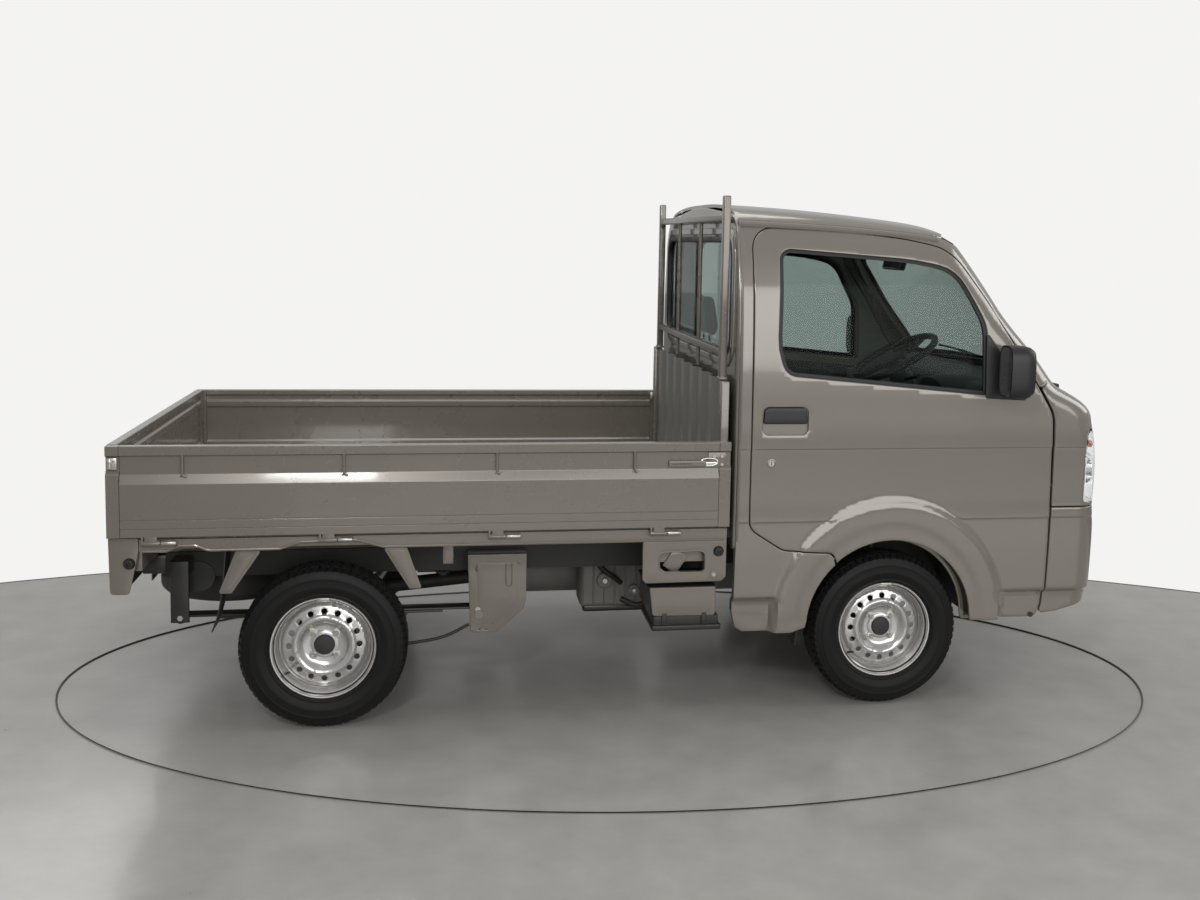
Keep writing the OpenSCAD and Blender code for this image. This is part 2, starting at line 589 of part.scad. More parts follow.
module battery_box() {
    color(black) {
        box(battery_x, [-w + 48, -rail_out - 30], [330, 432]);
        box([battery_x[0] + 15, battery_x[1] + 20], [-w + 48, -rail_out - 30], [280, 316]);
        box([battery_x[0] + 30, battery_x[0] + 60], [-w + 60, -rail_out - seat_gap], [316, 330]);
        box([battery_x[0] + 30, battery_x[0] + 60], [-rail_out - 20, -rail_out - seat_gap], [316, 500]);
        box([battery_x[0] + 30, battery_x[0] + 60], [-rail_out - 30.5, -rail_out - 15], [440, 460]);
    }
}
rail_z = [375, 525];                             // tops of the front and the rear length of the rails
cross_z = [455, 510];                            // crossmembers between the rear rails
tow_r = 15;
tow_t = 12;
module tow_eye(p) {
    difference() {
        box([p[0] - 30, p[0] + 30], [p[1] - tow_t / 2, p[1] + tow_t / 2], [p[2] - 26, p[2] + 38]);
        rod_y(p, tow_r, tow_t + 2);
    }
}
module chassis_frame() {
    color(dark_grey) {
        both() xz(-rail_out, -rail_in) polygon([
            [bed_x0 + 110, 440], [step_x - 100, 440], [step_x - 100, 300], [rail_x1, 300], [rail_x1, rail_z[0]],
            [step_x - 18, rail_z[0]], [step_x - 18, rail_z[1]], [bed_x0 + 110, rail_z[1]]]);
        for (x = [bed_x0 + 130, spare[0] - 22, rear_axle_x + 180, bed_x1 - 300, cab_x0 - 60])
            box([x, x + 45], [-rail_in + seat_gap, rail_in - seat_gap], cross_z);
        for (x = [step_x - 80, rail_x1 - 60])
            box([x, x + 50], [-rail_in + seat_gap, rail_in - seat_gap], [306, 365]);
        // towing eyes under the right rail
        tow_eye([bed_x0 + 150, -rail_in - 25, rail_z[1] - 122]);
        tow_eye([rail_x1 - 40, -rail_in - 25, 264]);
    }
}

// ---- load bed ----
sill_y = w - gate_t + 7;                         // outer face of the side rails
gate_z = deck_z + 1;
gate_top = deck_z + gate_h;
axis_z = deck_z - 18;
side_axis_y = w - barrel_d / 2;
tail_axis_x = bed_x0 - 8;
deck_edge = w - gate_t - gap;
module bed_deck() {
    color(paint) difference() {
        union() {
            box([bed_x0 + gate_t + gap, bed_x1 - 2], [-deck_edge, deck_edge], [deck_z - 4, deck_z]);
            box([bed_x0 + gate_t + gap, bed_x1 - 2], [-sill_y + 38, sill_y - 38], [deck_z - 18, deck_z - 4]);
            for (i = [0:7]) translate([bed_x0 + 90 + i * (bed_l - 200) / 7, 0, 0])
                box([-20, 20], [-sill_y + 38, sill_y - 38], [deck_z - 50, deck_z - 18]);
            both() box([bed_x0 + 60, bed_x1 - 20], [-rail_out, -rail_in], [rail_z[1] + seat_gap, deck_z - 50]);
        }
    }
}
hinge_x = [for (i = [0:3]) bed_x0 + 158 + i * (bed_l - 270) / 3.2];
// Fixed half of one hinge: two barrels, the pin through them and a foot on the rail; axis along X at the origin
module hinge_fixed(foot) {
    for (s = [-1, 1]) translate([s * 38, 0, 0]) {
        rod_x([-16, 0, 0], barrel_d / 2, 32);
        box([-16, 16], [0, foot], [-barrel_d / 2, 0]);
    }
    rod_x([-54, 0, 0], hinge_pin_d / 2, 108);
}
sill_gap = side_axis_y - sill_y + 2;
module hinge_moving() {
    difference() {
        union() {
            rod_x([-21, 0, 0], barrel_d / 2, 42);
            box([-21, 21], [-4, 5], [0, 24]);
        }
        rod_x([-30, 0, 0], hinge_pin_d / 2 + 0.05, 60);
    }
}
module bed_side_rails() {
    color(paint) both() {
        difference() {
            box([bed_x0 + 34, bed_x1 - 6], [-sill_y, -sill_y + 37.7], [deck_z - 50, deck_z - 5]);
            for (i = [0:4]) box([bed_x0 + 420 + i * 260, bed_x0 + 560 + i * 260], [-sill_y - 1, -sill_y + 20], [deck_z - 51, deck_z - 30]);
        }
        for (x = hinge_x) translate([x, -side_axis_y, axis_z]) hinge_fixed(sill_gap);
        // rear corner post and front bracket, with the rubber stops for the hanging gate
        box([bed_x0 + 34, bed_x0 + 90], [-sill_y, -sill_y + 37.7], [465, deck_z - 50]);
        rod_y([bed_x0 + 64, -sill_y - 2, 565], 16, 20);
        difference() {
            box([bed_x1 - 292, bed_x1 - 6], [-sill_y, -sill_y + 37.7], [455, deck_z - 50]);
            xz(-sill_y - 1, -sill_y + 40) round_rect([bed_x1 - 240, 490], [bed_x1 - 76, 566], 26);
        }
        rod_y([bed_x1 - 34, -sill_y - 2, 563], 16, 20);
        // outriggers from the frame rail
        for (x = [bed_x0 + 60, rear_axle_x + 380, bed_x1 - 120])
            box([x, x + 34], [-sill_y + 37.7, -rail_out - seat_gap], [deck_z - 120, deck_z - 51]);
    }
}
plate_holes = 210;                               // distance of the number plate's two screws
module rear_sill() {
    color(paint) {
        box([bed_x0 + 6, bed_x0 + 34 - seat_gap], [-sill_y, sill_y], [deck_z - 90, deck_z - 5]);
        for (y = [-480, 0, 480]) translate([tail_axis_x, y, axis_z]) rotate([0, 0, -90]) hinge_fixed(15);
        for (y = [-300, 300]) rod_x([bed_x0 - 22, y, 525], 15, 44);
        box([bed_x0 + 20, bed_x0 + 34], [-rail_out - 40, rail_out + 40], [500, deck_z - 90]);
        both() box([bed_x0 + 34, bed_x0 + 110 - seat_gap], [-rail_out + 2, -rail_in - 2], [450, 515]);
        difference() {
            box([bed_x0 + 4, bed_x0 + 10], [-165, 165], [360, 525]);
            for (y = [-1, 1]) rod_x([bed_x0, y * plate_holes / 2, 507], 3.2, 20);
        }
        box([bed_x0 + 9, bed_x0 + 22], [-40, 40], [465, 520]);
    }
}
// One gate lying in the XZ plane with its outer face at y = 0 and its inside towards +Y
module gate_panel(x0, x1) {
    xs = [x0, x1];
    difference() {
        box(xs, [0, gate_t], [gate_z, gate_top]);
        // sunk flat panel between the bottom rib and the upper ledge
        box([x0 + 30, x1 - 30], [-1, 8], [gate_z + 26, gate_z + 54]);
        box([x0 + 30, x1 - 30], [-1, 6], [gate_z + 60, gate_top - 120]);
        box([x0 + 30, x1 - 30], [-1, 12], [gate_top - 88, gate_top - 32]);
        // ribs on the inside
        for (z = [gate_z + 40, gate_top - 110, gate_top - 62])
            box([x0 + 30, x1 - 30], [gate_t - 9, gate_t + 1], [z, z + 24]);
    }
}
module side_gate() {
    translate([0, -w, 0]) gate_panel(bed_x0 + 4, bed_x1 - 4);
    for (x = hinge_x) translate([x, -side_axis_y, axis_z]) hinge_moving();
    // rope hooks under the rail
    for (i = [0:3]) translate([bed_x0 + 230 + i * 485, -w + 5, gate_top - 96]) cylinder(r = 5, h = 60);
}
module gate_right() { color(paint) side_gate(); }
module gate_left() { color(paint) mirror([0, 1, 0]) side_gate(); }
module tailgate() {
    color(paint) {
        translate([bed_x0, 0, 0]) rotate([0, 0, -90]) gate_panel(-deck_edge, deck_edge);
        for (y = [-480, 0, 480]) translate([tail_axis_x, y, axis_z]) rotate([0, 0, -90]) {
            hinge_moving();
            box([-21, 21], [0, 9], [16, 60]);
        }
    }
}
module headboard() {
    color(paint) {
        difference() {
            box([bed_x1 - 34, bed_x1 - 6], [-deck_edge, deck_edge], [deck_z + seat_gap, 1140]);
            for (i = [0:7]) translate([0, -deck_edge + 60 + i * (2 * deck_edge - 120) / 7.6, 0])
                box([bed_x1 - 35, bed_x1 - 20], [0, 110], [deck_z + 60, 1100]);
        }
    }
}
post_y = w - 107;
module guard_frame() {
    color(paint) {
        both() box([bed_x1 - 32, bed_x1 - 4], [-post_y - 15, -post_y + 15], [1140 + seat_gap, guard_z]);
        for (z = [1222, 1676]) box([bed_x1 - 30, bed_x1 - 6], [-post_y, post_y], [z, z + 28]);
        for (y = [-210, 210]) box([bed_x1 - 26, bed_x1 - 10], [y - 8, y + 8], [1140 + seat_gap, 1680]);
    }
}
module wheel_guards() {
    color(black) both() {
        // liner over the front wheel
        difference() {
            xz(-w + 84, -rail_out - 5) translate([arch_x, arch_z]) for (a = [0:22.5:157.5]) difference() {
                circle(arch_r + 14);
                circle(arch_r + 9);
                rotate(a) translate([-500, -1000]) square([1000, 1000]);
                rotate(a + 22.4) translate([-500, 0]) square([1000, 1000]);
            }
            box([0, cab_x1], [-w - 5, w], [-200, axle_z + 60]);
        }
        // flap behind the rear wheel, and the stays beside the tyre
        xz(-rear_y - 60, -rear_y + 60) polygon([
            [rear_axle_x - 341, deck_z - 50.3], [rear_axle_x - 300, 455],
            [rear_axle_x - 302, 455], [rear_axle_x - 348, deck_z - 50.3]]);
        for (x = [rear_axle_x - 142, rear_axle_x + 300])
            bar([x, -sill_y + 18, deck_z - 52.4], [x + (x < rear_axle_x ? -62 : 90), -sill_y + 18, 457], 6);
    }
}
module tail_lamps() {
    color("#a03020") both() {
        box([bed_x0 + 8, bed_x0 + 50], [-w + 80, -w + 270], [470, deck_z - 90 - seat_gap]);
    }
}
// A point on the bowed windscreen: y across, s up the slope, d out from it
function on_screen(y, s, d) = let(h = d - y * y / (2 * screen_r))
    [screen_foot[0] - s * cos(screen_tilt) + h * sin(screen_tilt), y,
     screen_foot[1] + s * sin(screen_tilt) + h * cos(screen_tilt)];
wiper_x = screen_foot[0] - 4;
wiper_z = screen_foot[1] + 16;
module wipers() {
    color(black) for (y = [-430, 30]) {
        difference() {
            rod_z([wiper_x, y, wiper_z - 40], 11, 46);
            cab_form(-seat_gap);
        }
        bar([wiper_x, y, wiper_z], on_screen(y + 350, 42, 14), 5);
        bar(on_screen(y + 40, 20, 8), on_screen(y + 390, 60, 8), 6);
        bar(on_screen(y + 230, 38, 8), on_screen(y + 236, 20, 17), 5);
    }
}

chassis_frame();
front_suspension();
knuckle_left();
knuckle_right();
wheel_front_left();
wheel_front_right();
wheel_rear_left();
wheel_rear_right();
tyre_front_left();
tyre_front_right();
tyre_rear_left();
tyre_rear_right();
rear_axle();
leaf_springs();
engine_block();
gearbox();
exhaust();
fuel_tank();
spare_wheel();
battery_box();
bed_deck();
bed_side_rails();
rear_sill();
wheel_guards();
headboard();
guard_frame();
gate_left();
gate_right();
tailgate();
tail_lamps();
cab_floor();
cab_frame();
cab_back();
roof_panel();
front_panel();
front_bumper();
windscreen();
rear_window();
headlamps();
wipers();
dashboard();
driver_seat();
passenger_seat();
steering_wheel();
cab_controls();
door_left();
door_right();
door_glass_left();
door_glass_right();
mirror_left();
mirror_right();
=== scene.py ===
# %% [markdown]
# # Kei truck
# A small forward-control pickup: a cab over the front axle, a flat load bed with three gates that
# fold down, and 12-inch steel wheels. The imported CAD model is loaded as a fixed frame. Each cell
# adds one piece or one finish to it, and the places come from the frame's own boxes.

# %% Load the frame
import math
import random

import bmesh
import bpy
import numpy as np
from mathutils import Matrix, Vector
from mathutils.geometry import delaunay_2d_cdt


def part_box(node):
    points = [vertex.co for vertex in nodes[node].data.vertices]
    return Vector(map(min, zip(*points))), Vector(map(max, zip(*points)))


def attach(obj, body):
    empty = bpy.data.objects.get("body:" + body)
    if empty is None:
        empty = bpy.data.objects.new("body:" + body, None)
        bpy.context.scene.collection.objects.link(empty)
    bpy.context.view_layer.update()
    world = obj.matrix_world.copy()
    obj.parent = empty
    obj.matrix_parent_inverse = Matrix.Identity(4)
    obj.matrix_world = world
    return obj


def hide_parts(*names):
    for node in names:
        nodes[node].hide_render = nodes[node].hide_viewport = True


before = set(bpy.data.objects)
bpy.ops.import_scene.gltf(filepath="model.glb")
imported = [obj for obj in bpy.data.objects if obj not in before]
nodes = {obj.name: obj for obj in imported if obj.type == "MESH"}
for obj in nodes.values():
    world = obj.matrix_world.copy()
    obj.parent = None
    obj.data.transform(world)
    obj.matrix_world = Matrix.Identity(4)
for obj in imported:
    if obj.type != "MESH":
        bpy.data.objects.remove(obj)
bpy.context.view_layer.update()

# %% [markdown]
# ## Driving places
# Everything below is worked out from a few places of the frame: the ends of the cab and of the bed,
# the two axles, the deck and the gates. Lengths are in metres, +X is forward and +Z is up.

# %% Places read from the frame
HALF_W = 0.7375
CAB_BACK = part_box("cab_back")[0].x
CAB_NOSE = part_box("front_bumper")[1].x
ROOF_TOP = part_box("roof_panel")[1].z
BED_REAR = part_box("tailgate")[0].x + 0.017
BED_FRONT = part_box("headboard")[1].x + 0.006
GATE_LOW, GATE_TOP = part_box("gate_right")[0].z + 0.028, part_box("gate_right")[1].z
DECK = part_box("bed_deck")[1].z
WHEEL_NAMES = ("front_left", "front_right", "rear_left", "rear_right")


def centre_of(node):
    low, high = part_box(node)
    return (low + high) / 2


HUBS = {name: centre_of("tyre_" + name) for name in WHEEL_NAMES}
TYRE_R = (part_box("tyre_rear_left")[1].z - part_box("tyre_rear_left")[0].z) / 2
FRONT_X = HUBS["front_left"].x
REAR_X = HUBS["rear_left"].x
print("cab", CAB_BACK, CAB_NOSE, ROOF_TOP, "bed", BED_REAR, BED_FRONT, GATE_LOW, GATE_TOP, DECK)

# %% [markdown]
# ## Camera
# The truck is seen from its right side, a little from behind, with a normal lens at eye height.
# A small lens shift sets the framing, as the level line lies just above its middle.

# %% Camera
EYE = Vector((-0.644, -4.7619, 1.604))
YAW, PITCH, ROLL = 0.1821, 0.098, 0.0227
SENSOR = 36.0
FOCAL = 1244.09 / 1200 * SENSOR


def make_camera():
    data = bpy.data.cameras.new("camera")
    data.sensor_width = SENSOR
    data.lens = FOCAL
    data.shift_x = -0.0607
    data.shift_y = -0.0713
    ahead = Vector((math.sin(YAW) * math.cos(PITCH), math.cos(YAW) * math.cos(PITCH), -math.sin(PITCH)))
    right = Vector((math.cos(YAW), -math.sin(YAW), 0))
    up = right.cross(ahead)
    turned = math.cos(ROLL) * right + math.sin(ROLL) * up
    lifted = -math.sin(ROLL) * right + math.cos(ROLL) * up
    camera = bpy.data.objects.new("camera", data)
    camera.matrix_world = Matrix((
        (turned.x, lifted.x, -ahead.x, EYE.x),
        (turned.y, lifted.y, -ahead.y, EYE.y),
        (turned.z, lifted.z, -ahead.z, EYE.z),
        (0, 0, 0, 1)))
    bpy.context.scene.collection.objects.link(camera)
    bpy.context.scene.camera = camera


make_camera()

# %% [markdown]
# ## Shader groups
# Two effects are used by many finishes, so each is a node group with named inputs: fine grain,
# which gives a mask and a height, and dust, which settles low on the body and on upward faces.
# Groups put out only masks and values, and the shader itself stays in each material.

# %% Shader groups: grain and dust
def new_group(name, inputs, outputs):
    group = bpy.data.node_groups.new(name, "ShaderNodeTree")
    for label, kind, value in inputs:
        socket = group.interface.new_socket(name=label, in_out="INPUT", socket_type=kind)
        socket.default_value = value
    for label, kind in outputs:
        group.interface.new_socket(name=label, in_out="OUTPUT", socket_type=kind)
    return group, group.nodes.new("NodeGroupInput"), group.nodes.new("NodeGroupOutput")


def math_node(tree, operation, first, second=None, clamp=False):
    node = tree.nodes.new("ShaderNodeMath")
    node.operation = operation
    node.use_clamp = clamp
    for i, value in enumerate((first, second)):
        if value is None:
            continue
        if isinstance(value, (int, float)):
            node.inputs[i].default_value = value
        else:
            tree.links.new(value, node.inputs[i])
    return node.outputs[0]


def noise_node(tree, vector, scale, detail, rough=0.5):
    node = tree.nodes.new("ShaderNodeTexNoise")
    node.inputs["Detail"].default_value = detail
    node.inputs["Roughness"].default_value = rough
    if isinstance(scale, (int, float)):
        node.inputs["Scale"].default_value = scale
    else:
        tree.links.new(scale, node.inputs["Scale"])
    tree.links.new(vector, node.inputs["Vector"])
    return node.outputs[0]


def build_grain():
    group, given, result = new_group("fine_grain", [("Scale", "NodeSocketFloat", 800.0)],
                                     [("Height", "NodeSocketFloat"), ("Patches", "NodeSocketFloat")])
    place = group.nodes.new("ShaderNodeTexCoord").outputs["Object"]
    fine = noise_node(group, place, given.outputs["Scale"], 3)
    wide = noise_node(group, place, 6, 5, 0.6)
    group.links.new(fine, result.inputs["Height"])
    group.links.new(wide, result.inputs["Patches"])
    return group


def build_dust():
    group, given, result = new_group(
        "settled_dust",
        [("Amount", "NodeSocketFloat", 0.3), ("Top", "NodeSocketFloat", 0.9)],
        [("Mask", "NodeSocketFloat")])
    place = group.nodes.new("ShaderNodeTexCoord").outputs["Object"]
    parts = group.nodes.new("ShaderNodeSeparateXYZ")
    group.links.new(place, parts.inputs[0])
    low = math_node(group, "SUBTRACT", given.outputs["Top"], parts.outputs[2])
    low = math_node(group, "MULTIPLY", low, 1.4, clamp=True)
    facing = group.nodes.new("ShaderNodeNewGeometry").outputs["Normal"]
    slope = group.nodes.new("ShaderNodeSeparateXYZ")
    group.links.new(facing, slope.inputs[0])
    up = math_node(group, "MULTIPLY", slope.outputs[2], 0.35, clamp=True)
    both = math_node(group, "ADD", low, up, clamp=True)
    cloud = noise_node(group, place, 9, 6, 0.65)
    mixed = math_node(group, "MULTIPLY", both, cloud)
    mixed = math_node(group, "MULTIPLY", mixed, given.outputs["Amount"], clamp=True)
    group.links.new(mixed, result.inputs["Mask"])
    return group


GRAIN = build_grain()
DUST = build_dust()

# %% [markdown]
# ## Finishes
# One function makes most finishes: a base colour that varies a little in soft patches, dust on top
# of it, and grain as bump. The constant sockets, such as metal, coat and sheen, are set directly.

# %% Finish maker
MATERIALS = {}


def new_finish(name):
    """A new material with its node tree and its shader."""
    material = bpy.data.materials.new(name)
    material.use_nodes = True
    MATERIALS[name] = material
    return material, material.node_tree, material.node_tree.nodes["Principled BSDF"]


def finish(name, colour, rough=0.4, metal=0.0, coat=0.0, vary=0.06, dust=0.1, dust_top=0.9,
           grain=800.0, bump=0.0, depth=0.0003, extra=None):
    material, tree, shader = new_finish(name)
    shader.inputs["Metallic"].default_value = metal
    shader.inputs["Coat Weight"].default_value = coat
    shader.inputs["Coat Roughness"].default_value = 0.06
    fine = tree.nodes.new("ShaderNodeGroup")
    fine.node_tree = GRAIN
    fine.inputs["Scale"].default_value = grain
    soil = tree.nodes.new("ShaderNodeGroup")
    soil.node_tree = DUST
    soil.inputs["Amount"].default_value = dust
    soil.inputs["Top"].default_value = dust_top
    tint = tree.nodes.new("ShaderNodeMix")
    tint.data_type = "RGBA"
    tint.inputs[6].default_value = (*[c * (1 - vary) for c in colour], 1)
    tint.inputs[7].default_value = (*[min(1, c * (1 + vary)) for c in colour], 1)
    tree.links.new(fine.outputs["Patches"], tint.inputs[0])
    soiled = tree.nodes.new("ShaderNodeMix")
    soiled.data_type = "RGBA"
    soiled.inputs[7].default_value = (0.30, 0.27, 0.23, 1)
    tree.links.new(soil.outputs["Mask"], soiled.inputs[0])
    tree.links.new(tint.outputs[2], soiled.inputs[6])
    tree.links.new(soiled.outputs[2], shader.inputs["Base Color"])
    wear = math_node(tree, "MULTIPLY", fine.outputs["Patches"], 0.05 if coat else 0.16)
    wear = math_node(tree, "ADD", wear, max(0.02, rough - 0.08))
    wear = math_node(tree, "ADD", wear, soil.outputs["Mask"], clamp=True)
    tree.links.new(wear, shader.inputs["Roughness"])
    if bump:
        lift = tree.nodes.new("ShaderNodeBump")
        lift.inputs["Strength"].default_value = bump
        lift.inputs["Distance"].default_value = depth
        tree.links.new(fine.outputs["Height"], lift.inputs["Height"])
        tree.links.new(lift.outputs[0], shader.inputs["Normal"])
    for label, value in (extra or {}).items():
        shader.inputs[label].default_value = value
    return material


# %% [markdown]
# The colours below are those of new paint, plastic, rubber and metal, except the black undercoat, which is made
# darker still as painted shade under the truck.

# %% Finishes of this truck
PAINT = finish("taupe_paint", (0.205, 0.186, 0.160), rough=0.27, metal=0.25, coat=1.0, vary=0.03,
               dust=0.03, dust_top=0.6, grain=2600, bump=0.02, depth=0.00003)
BED_PAINT = finish("bed_paint", (0.172, 0.154, 0.130), rough=0.33, metal=0.22, coat=0.7, vary=0.05,
                   dust=0.05, dust_top=0.75, grain=1500, bump=0.03, depth=0.00004)
INNER_PAINT = finish("inner_paint", (0.22, 0.205, 0.18), rough=0.45, metal=0.15, coat=0.3, dust=0.3)
BLACK_PLASTIC = finish("grained_black_plastic", (0.012, 0.012, 0.013), rough=0.42, grain=1400, bump=0.3)
SATIN_BLACK = finish("satin_black_steel", (0.008, 0.008, 0.0085), rough=0.38, coat=0.2, dust=0.08)
GREY_PLASTIC = finish("cabin_grey_plastic", (0.085, 0.088, 0.088), rough=0.55, grain=1600, bump=0.35)
DARK_PLASTIC = finish("cabin_dark_plastic", (0.025, 0.026, 0.028), rough=0.55, grain=1600, bump=0.35)
TYRE_RUBBER = finish("tyre_rubber", (0.0065, 0.0065, 0.0065), rough=0.5, vary=0.2, dust=0.04, dust_top=0.3,
                     grain=500, bump=0.15)
TYRE_RUBBER.node_tree.nodes["Principled BSDF"].inputs["Specular IOR Level"].default_value = 0.22
SEAL_RUBBER = finish("seal_rubber", (0.008, 0.008, 0.008), rough=0.5, grain=900, bump=0.1)
RIM_SILVER = finish("rim_silver", (0.56, 0.55, 0.54), rough=0.27, metal=0.75, coat=0.5, vary=0.05,
                    dust=0.10, dust_top=0.4, grain=1800, bump=0.05)
ZINC = finish("zinc_plated", (0.50, 0.49, 0.45), rough=0.35, metal=0.9, vary=0.15, grain=600, bump=0.1)
CHROME = finish("bright_chrome", (0.72, 0.72, 0.72), rough=0.14, metal=1.0, vary=0.02, dust=0.02)
CAST_METAL = finish("cast_aluminium", (0.24, 0.235, 0.225), rough=0.55, metal=0.7, vary=0.25, dust=0.4,
                    grain=260, bump=0.5, depth=0.001)
EXHAUST_STEEL = finish("exhaust_steel", (0.30, 0.27, 0.23), rough=0.5, metal=0.8, vary=0.3, dust=0.3)
# Black undercoat, made extra dark as painted shade: it darkens the chassis parts under the truck, where the
# truck's shadow falls.
UNDERCOAT_WITH_SHADE = finish("black_undercoat", (0.008, 0.008, 0.008), rough=0.5, vary=0.2, dust=0.10, grain=300,
                   bump=0.3)
SEAT_CLOTH = finish("seat_cloth", (0.055, 0.057, 0.060), rough=0.85, grain=1100, bump=0.5,
                    extra={"Sheen Weight": 0.3})
FLOOR_MAT = finish("floor_mat", (0.020, 0.020, 0.021), rough=0.8, grain=420, bump=0.6, depth=0.001)
BED_ZINC = finish("grey_primer", (0.20, 0.20, 0.185), rough=0.42, metal=0.3, coat=0.3, dust=0.2)

# %% [markdown]
# Clear finishes let light through, and a trace of haze keeps them from looking too perfect.

# %% Clear finishes: window glass, lamp lens, lamp colours
def clear(name, colour, rough, ior, transmission=1.0, coat=0.0):
    material, tree, shader = new_finish(name)
    shader.inputs["Base Color"].default_value = (*colour, 1)
    shader.inputs["IOR"].default_value = ior
    shader.inputs["Transmission Weight"].default_value = transmission
    shader.inputs["Coat Weight"].default_value = coat
    fine = tree.nodes.new("ShaderNodeGroup")
    fine.node_tree = GRAIN
    haze = math_node(tree, "MULTIPLY", fine.outputs["Patches"], 0.03)
    haze = math_node(tree, "ADD", haze, rough)
    tree.links.new(haze, shader.inputs["Roughness"])
    return material


GLASS = clear("green_tinted_glass", (0.43, 0.490, 0.475), 0.0, 1.12)
LENS = clear("clear_lamp_lens", (0.95, 0.96, 0.97), 0.02, 1.30)
RED_LENS = clear("red_lamp_lens", (0.60, 0.02, 0.015), 0.04, 1.30, transmission=0.55, coat=1.0)
AMBER_LENS = clear("amber_lamp_lens", (0.85, 0.22, 0.02), 0.04, 1.30, transmission=0.5, coat=1.0)
print(len(MATERIALS), "finishes")

# %% [markdown]
# ## Mesh helpers
# A finished piece is one mesh whose object sits at the origin, unturned and unscaled, with its place in its
# points. `piece` shades it smooth up to an angle, gives it its finish, hangs it on the body it moves with and
# hides the CAD nodes it stands for.

# %% Piece maker
SHADE_ANGLE = math.radians(38)


def placed(name, data):
    """A new object in the scene that shows this data."""
    obj = bpy.data.objects.new(name, data)
    bpy.context.scene.collection.objects.link(obj)
    return obj


def mesh_object(name, verts, faces):
    mesh = bpy.data.meshes.new(name)
    mesh.from_pydata([tuple(v) for v in verts], [], [tuple(f) for f in faces])
    mesh.update()
    return placed(name, mesh)


def from_bmesh(name, work):
    """An object of a finished bmesh, which is freed."""
    mesh = bpy.data.meshes.new(name)
    work.to_mesh(mesh)
    work.free()
    return placed(name, mesh)


def piece(obj, finish_name, body, replaces=(), angle=SHADE_ANGLE):
    if not obj.data.materials:
        obj.data.materials.append(finish_name)
    obj.data.shade_smooth()
    obj.data.set_sharp_from_angle(angle=angle)
    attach(obj, body)
    if replaces:
        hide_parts(*replaces)
    return obj


def outward(obj):
    """Merge doubles and turn all faces to the outside."""
    work = bmesh.new()
    work.from_mesh(obj.data)
    bmesh.ops.remove_doubles(work, verts=work.verts, dist=0.00002)
    bmesh.ops.recalc_face_normals(work, faces=work.faces)
    work.to_mesh(obj.data)
    work.free()
    return obj


def join(name, parts):
    """Several meshes as one; each keeps its own material."""
    work = bmesh.new()
    slots = []
    for part in parts:
        start = len(work.faces)
        work.from_mesh(part.data)
        work.faces.ensure_lookup_table()
        own = list(part.data.materials) or [None]
        index = {}
        for i, material in enumerate(own):
            if material not in slots:
                slots.append(material)
            index[i] = slots.index(material)
        for face in work.faces[start:]:
            face.material_index = index.get(face.material_index, 0)
        mesh = part.data
        bpy.data.objects.remove(part)
        bpy.data.meshes.remove(mesh)
    mesh = bpy.data.meshes.new(name)
    work.to_mesh(mesh)
    work.free()
    for material in slots:
        if material is not None:
            mesh.materials.append(material)
    obj = placed(name, mesh)
    return obj


def painted(obj, material):
    obj.data.materials.clear()
    obj.data.materials.append(material)
    return obj


def mirrored(obj, name):
    """The same piece on the other side of the truck."""
    copy = obj.copy()
    copy.data = obj.data.copy()
    copy.name = name
    copy.data.name = name
    bpy.context.scene.collection.objects.link(copy)
    copy.data.transform(Matrix.Diagonal((1, -1, 1, 1)))
    copy.data.flip_normals()
    return copy


# %% [markdown]
# Small hardware comes from three makers: a rounded box, a lathe and a round bar along a path.
# Bevels are real geometry, as light on an edge is what makes pressed steel and plastic look real.

# %% Rounded box, lathe and tube
ON_AXIS = 0.00001  # where a turned solid meets its own axis


def around(steps):
    """Even angles round a full turn."""
    return np.linspace(0, 2 * math.pi, steps, endpoint=False)


def block(name, low, high, bevel=0.002, segments=2, material=None, turn=None):
    work = bmesh.new()
    size = [h - l for l, h in zip(low, high)]
    bmesh.ops.create_cube(work, size=1)
    for v in work.verts:
        v.co = Vector([low[i] + (v.co[i] + 0.5) * size[i] for i in range(3)])
    if bevel:
        bmesh.ops.bevel(work, geom=list(work.edges), offset=min(bevel, 0.49 * min(size)), segments=segments,
                        profile=0.5, affect="EDGES", clamp_overlap=True)
    obj = from_bmesh(name, work)
    if turn is not None:
        middle = Vector([(l + h) / 2 for l, h in zip(low, high)])
        obj.data.transform(Matrix.Translation(middle) @ turn.to_4x4() @ Matrix.Translation(-middle))
    if material:
        painted(obj, material)
    return obj


def lathe(name, profile, centre, axis="Y", steps=48, material=None):
    """Turns (radius, height) points round an axis through centre; the profile is closed on itself."""
    verts, faces = [], []
    count = len(profile)
    for k in range(steps):
        a = 2 * math.pi * k / steps
        for r, h in profile:
            p = (r * math.cos(a), r * math.sin(a), h)
            if axis == "Y":
                p = (p[0], p[2], -p[1])
            elif axis == "-Y":
                p = (p[0], -p[2], p[1])
            elif axis == "X":
                p = (p[2], p[0], p[1])
            verts.append(Vector(p) + Vector(centre))
    for k in range(steps):
        n = (k + 1) % steps
        for i in range(count):
            j = (i + 1) % count
            faces.append((k * count + i, n * count + i, n * count + j, k * count + j))
    obj = outward(mesh_object(name, verts, faces))
    if material:
        painted(obj, material)
    return obj


def disc_profile(radius, height, edge):
    """A solid disc as a lathe profile."""
    return [(ON_AXIS, 0), (radius, 0), (radius, height - edge), (radius - edge, height), (ON_AXIS, height)]


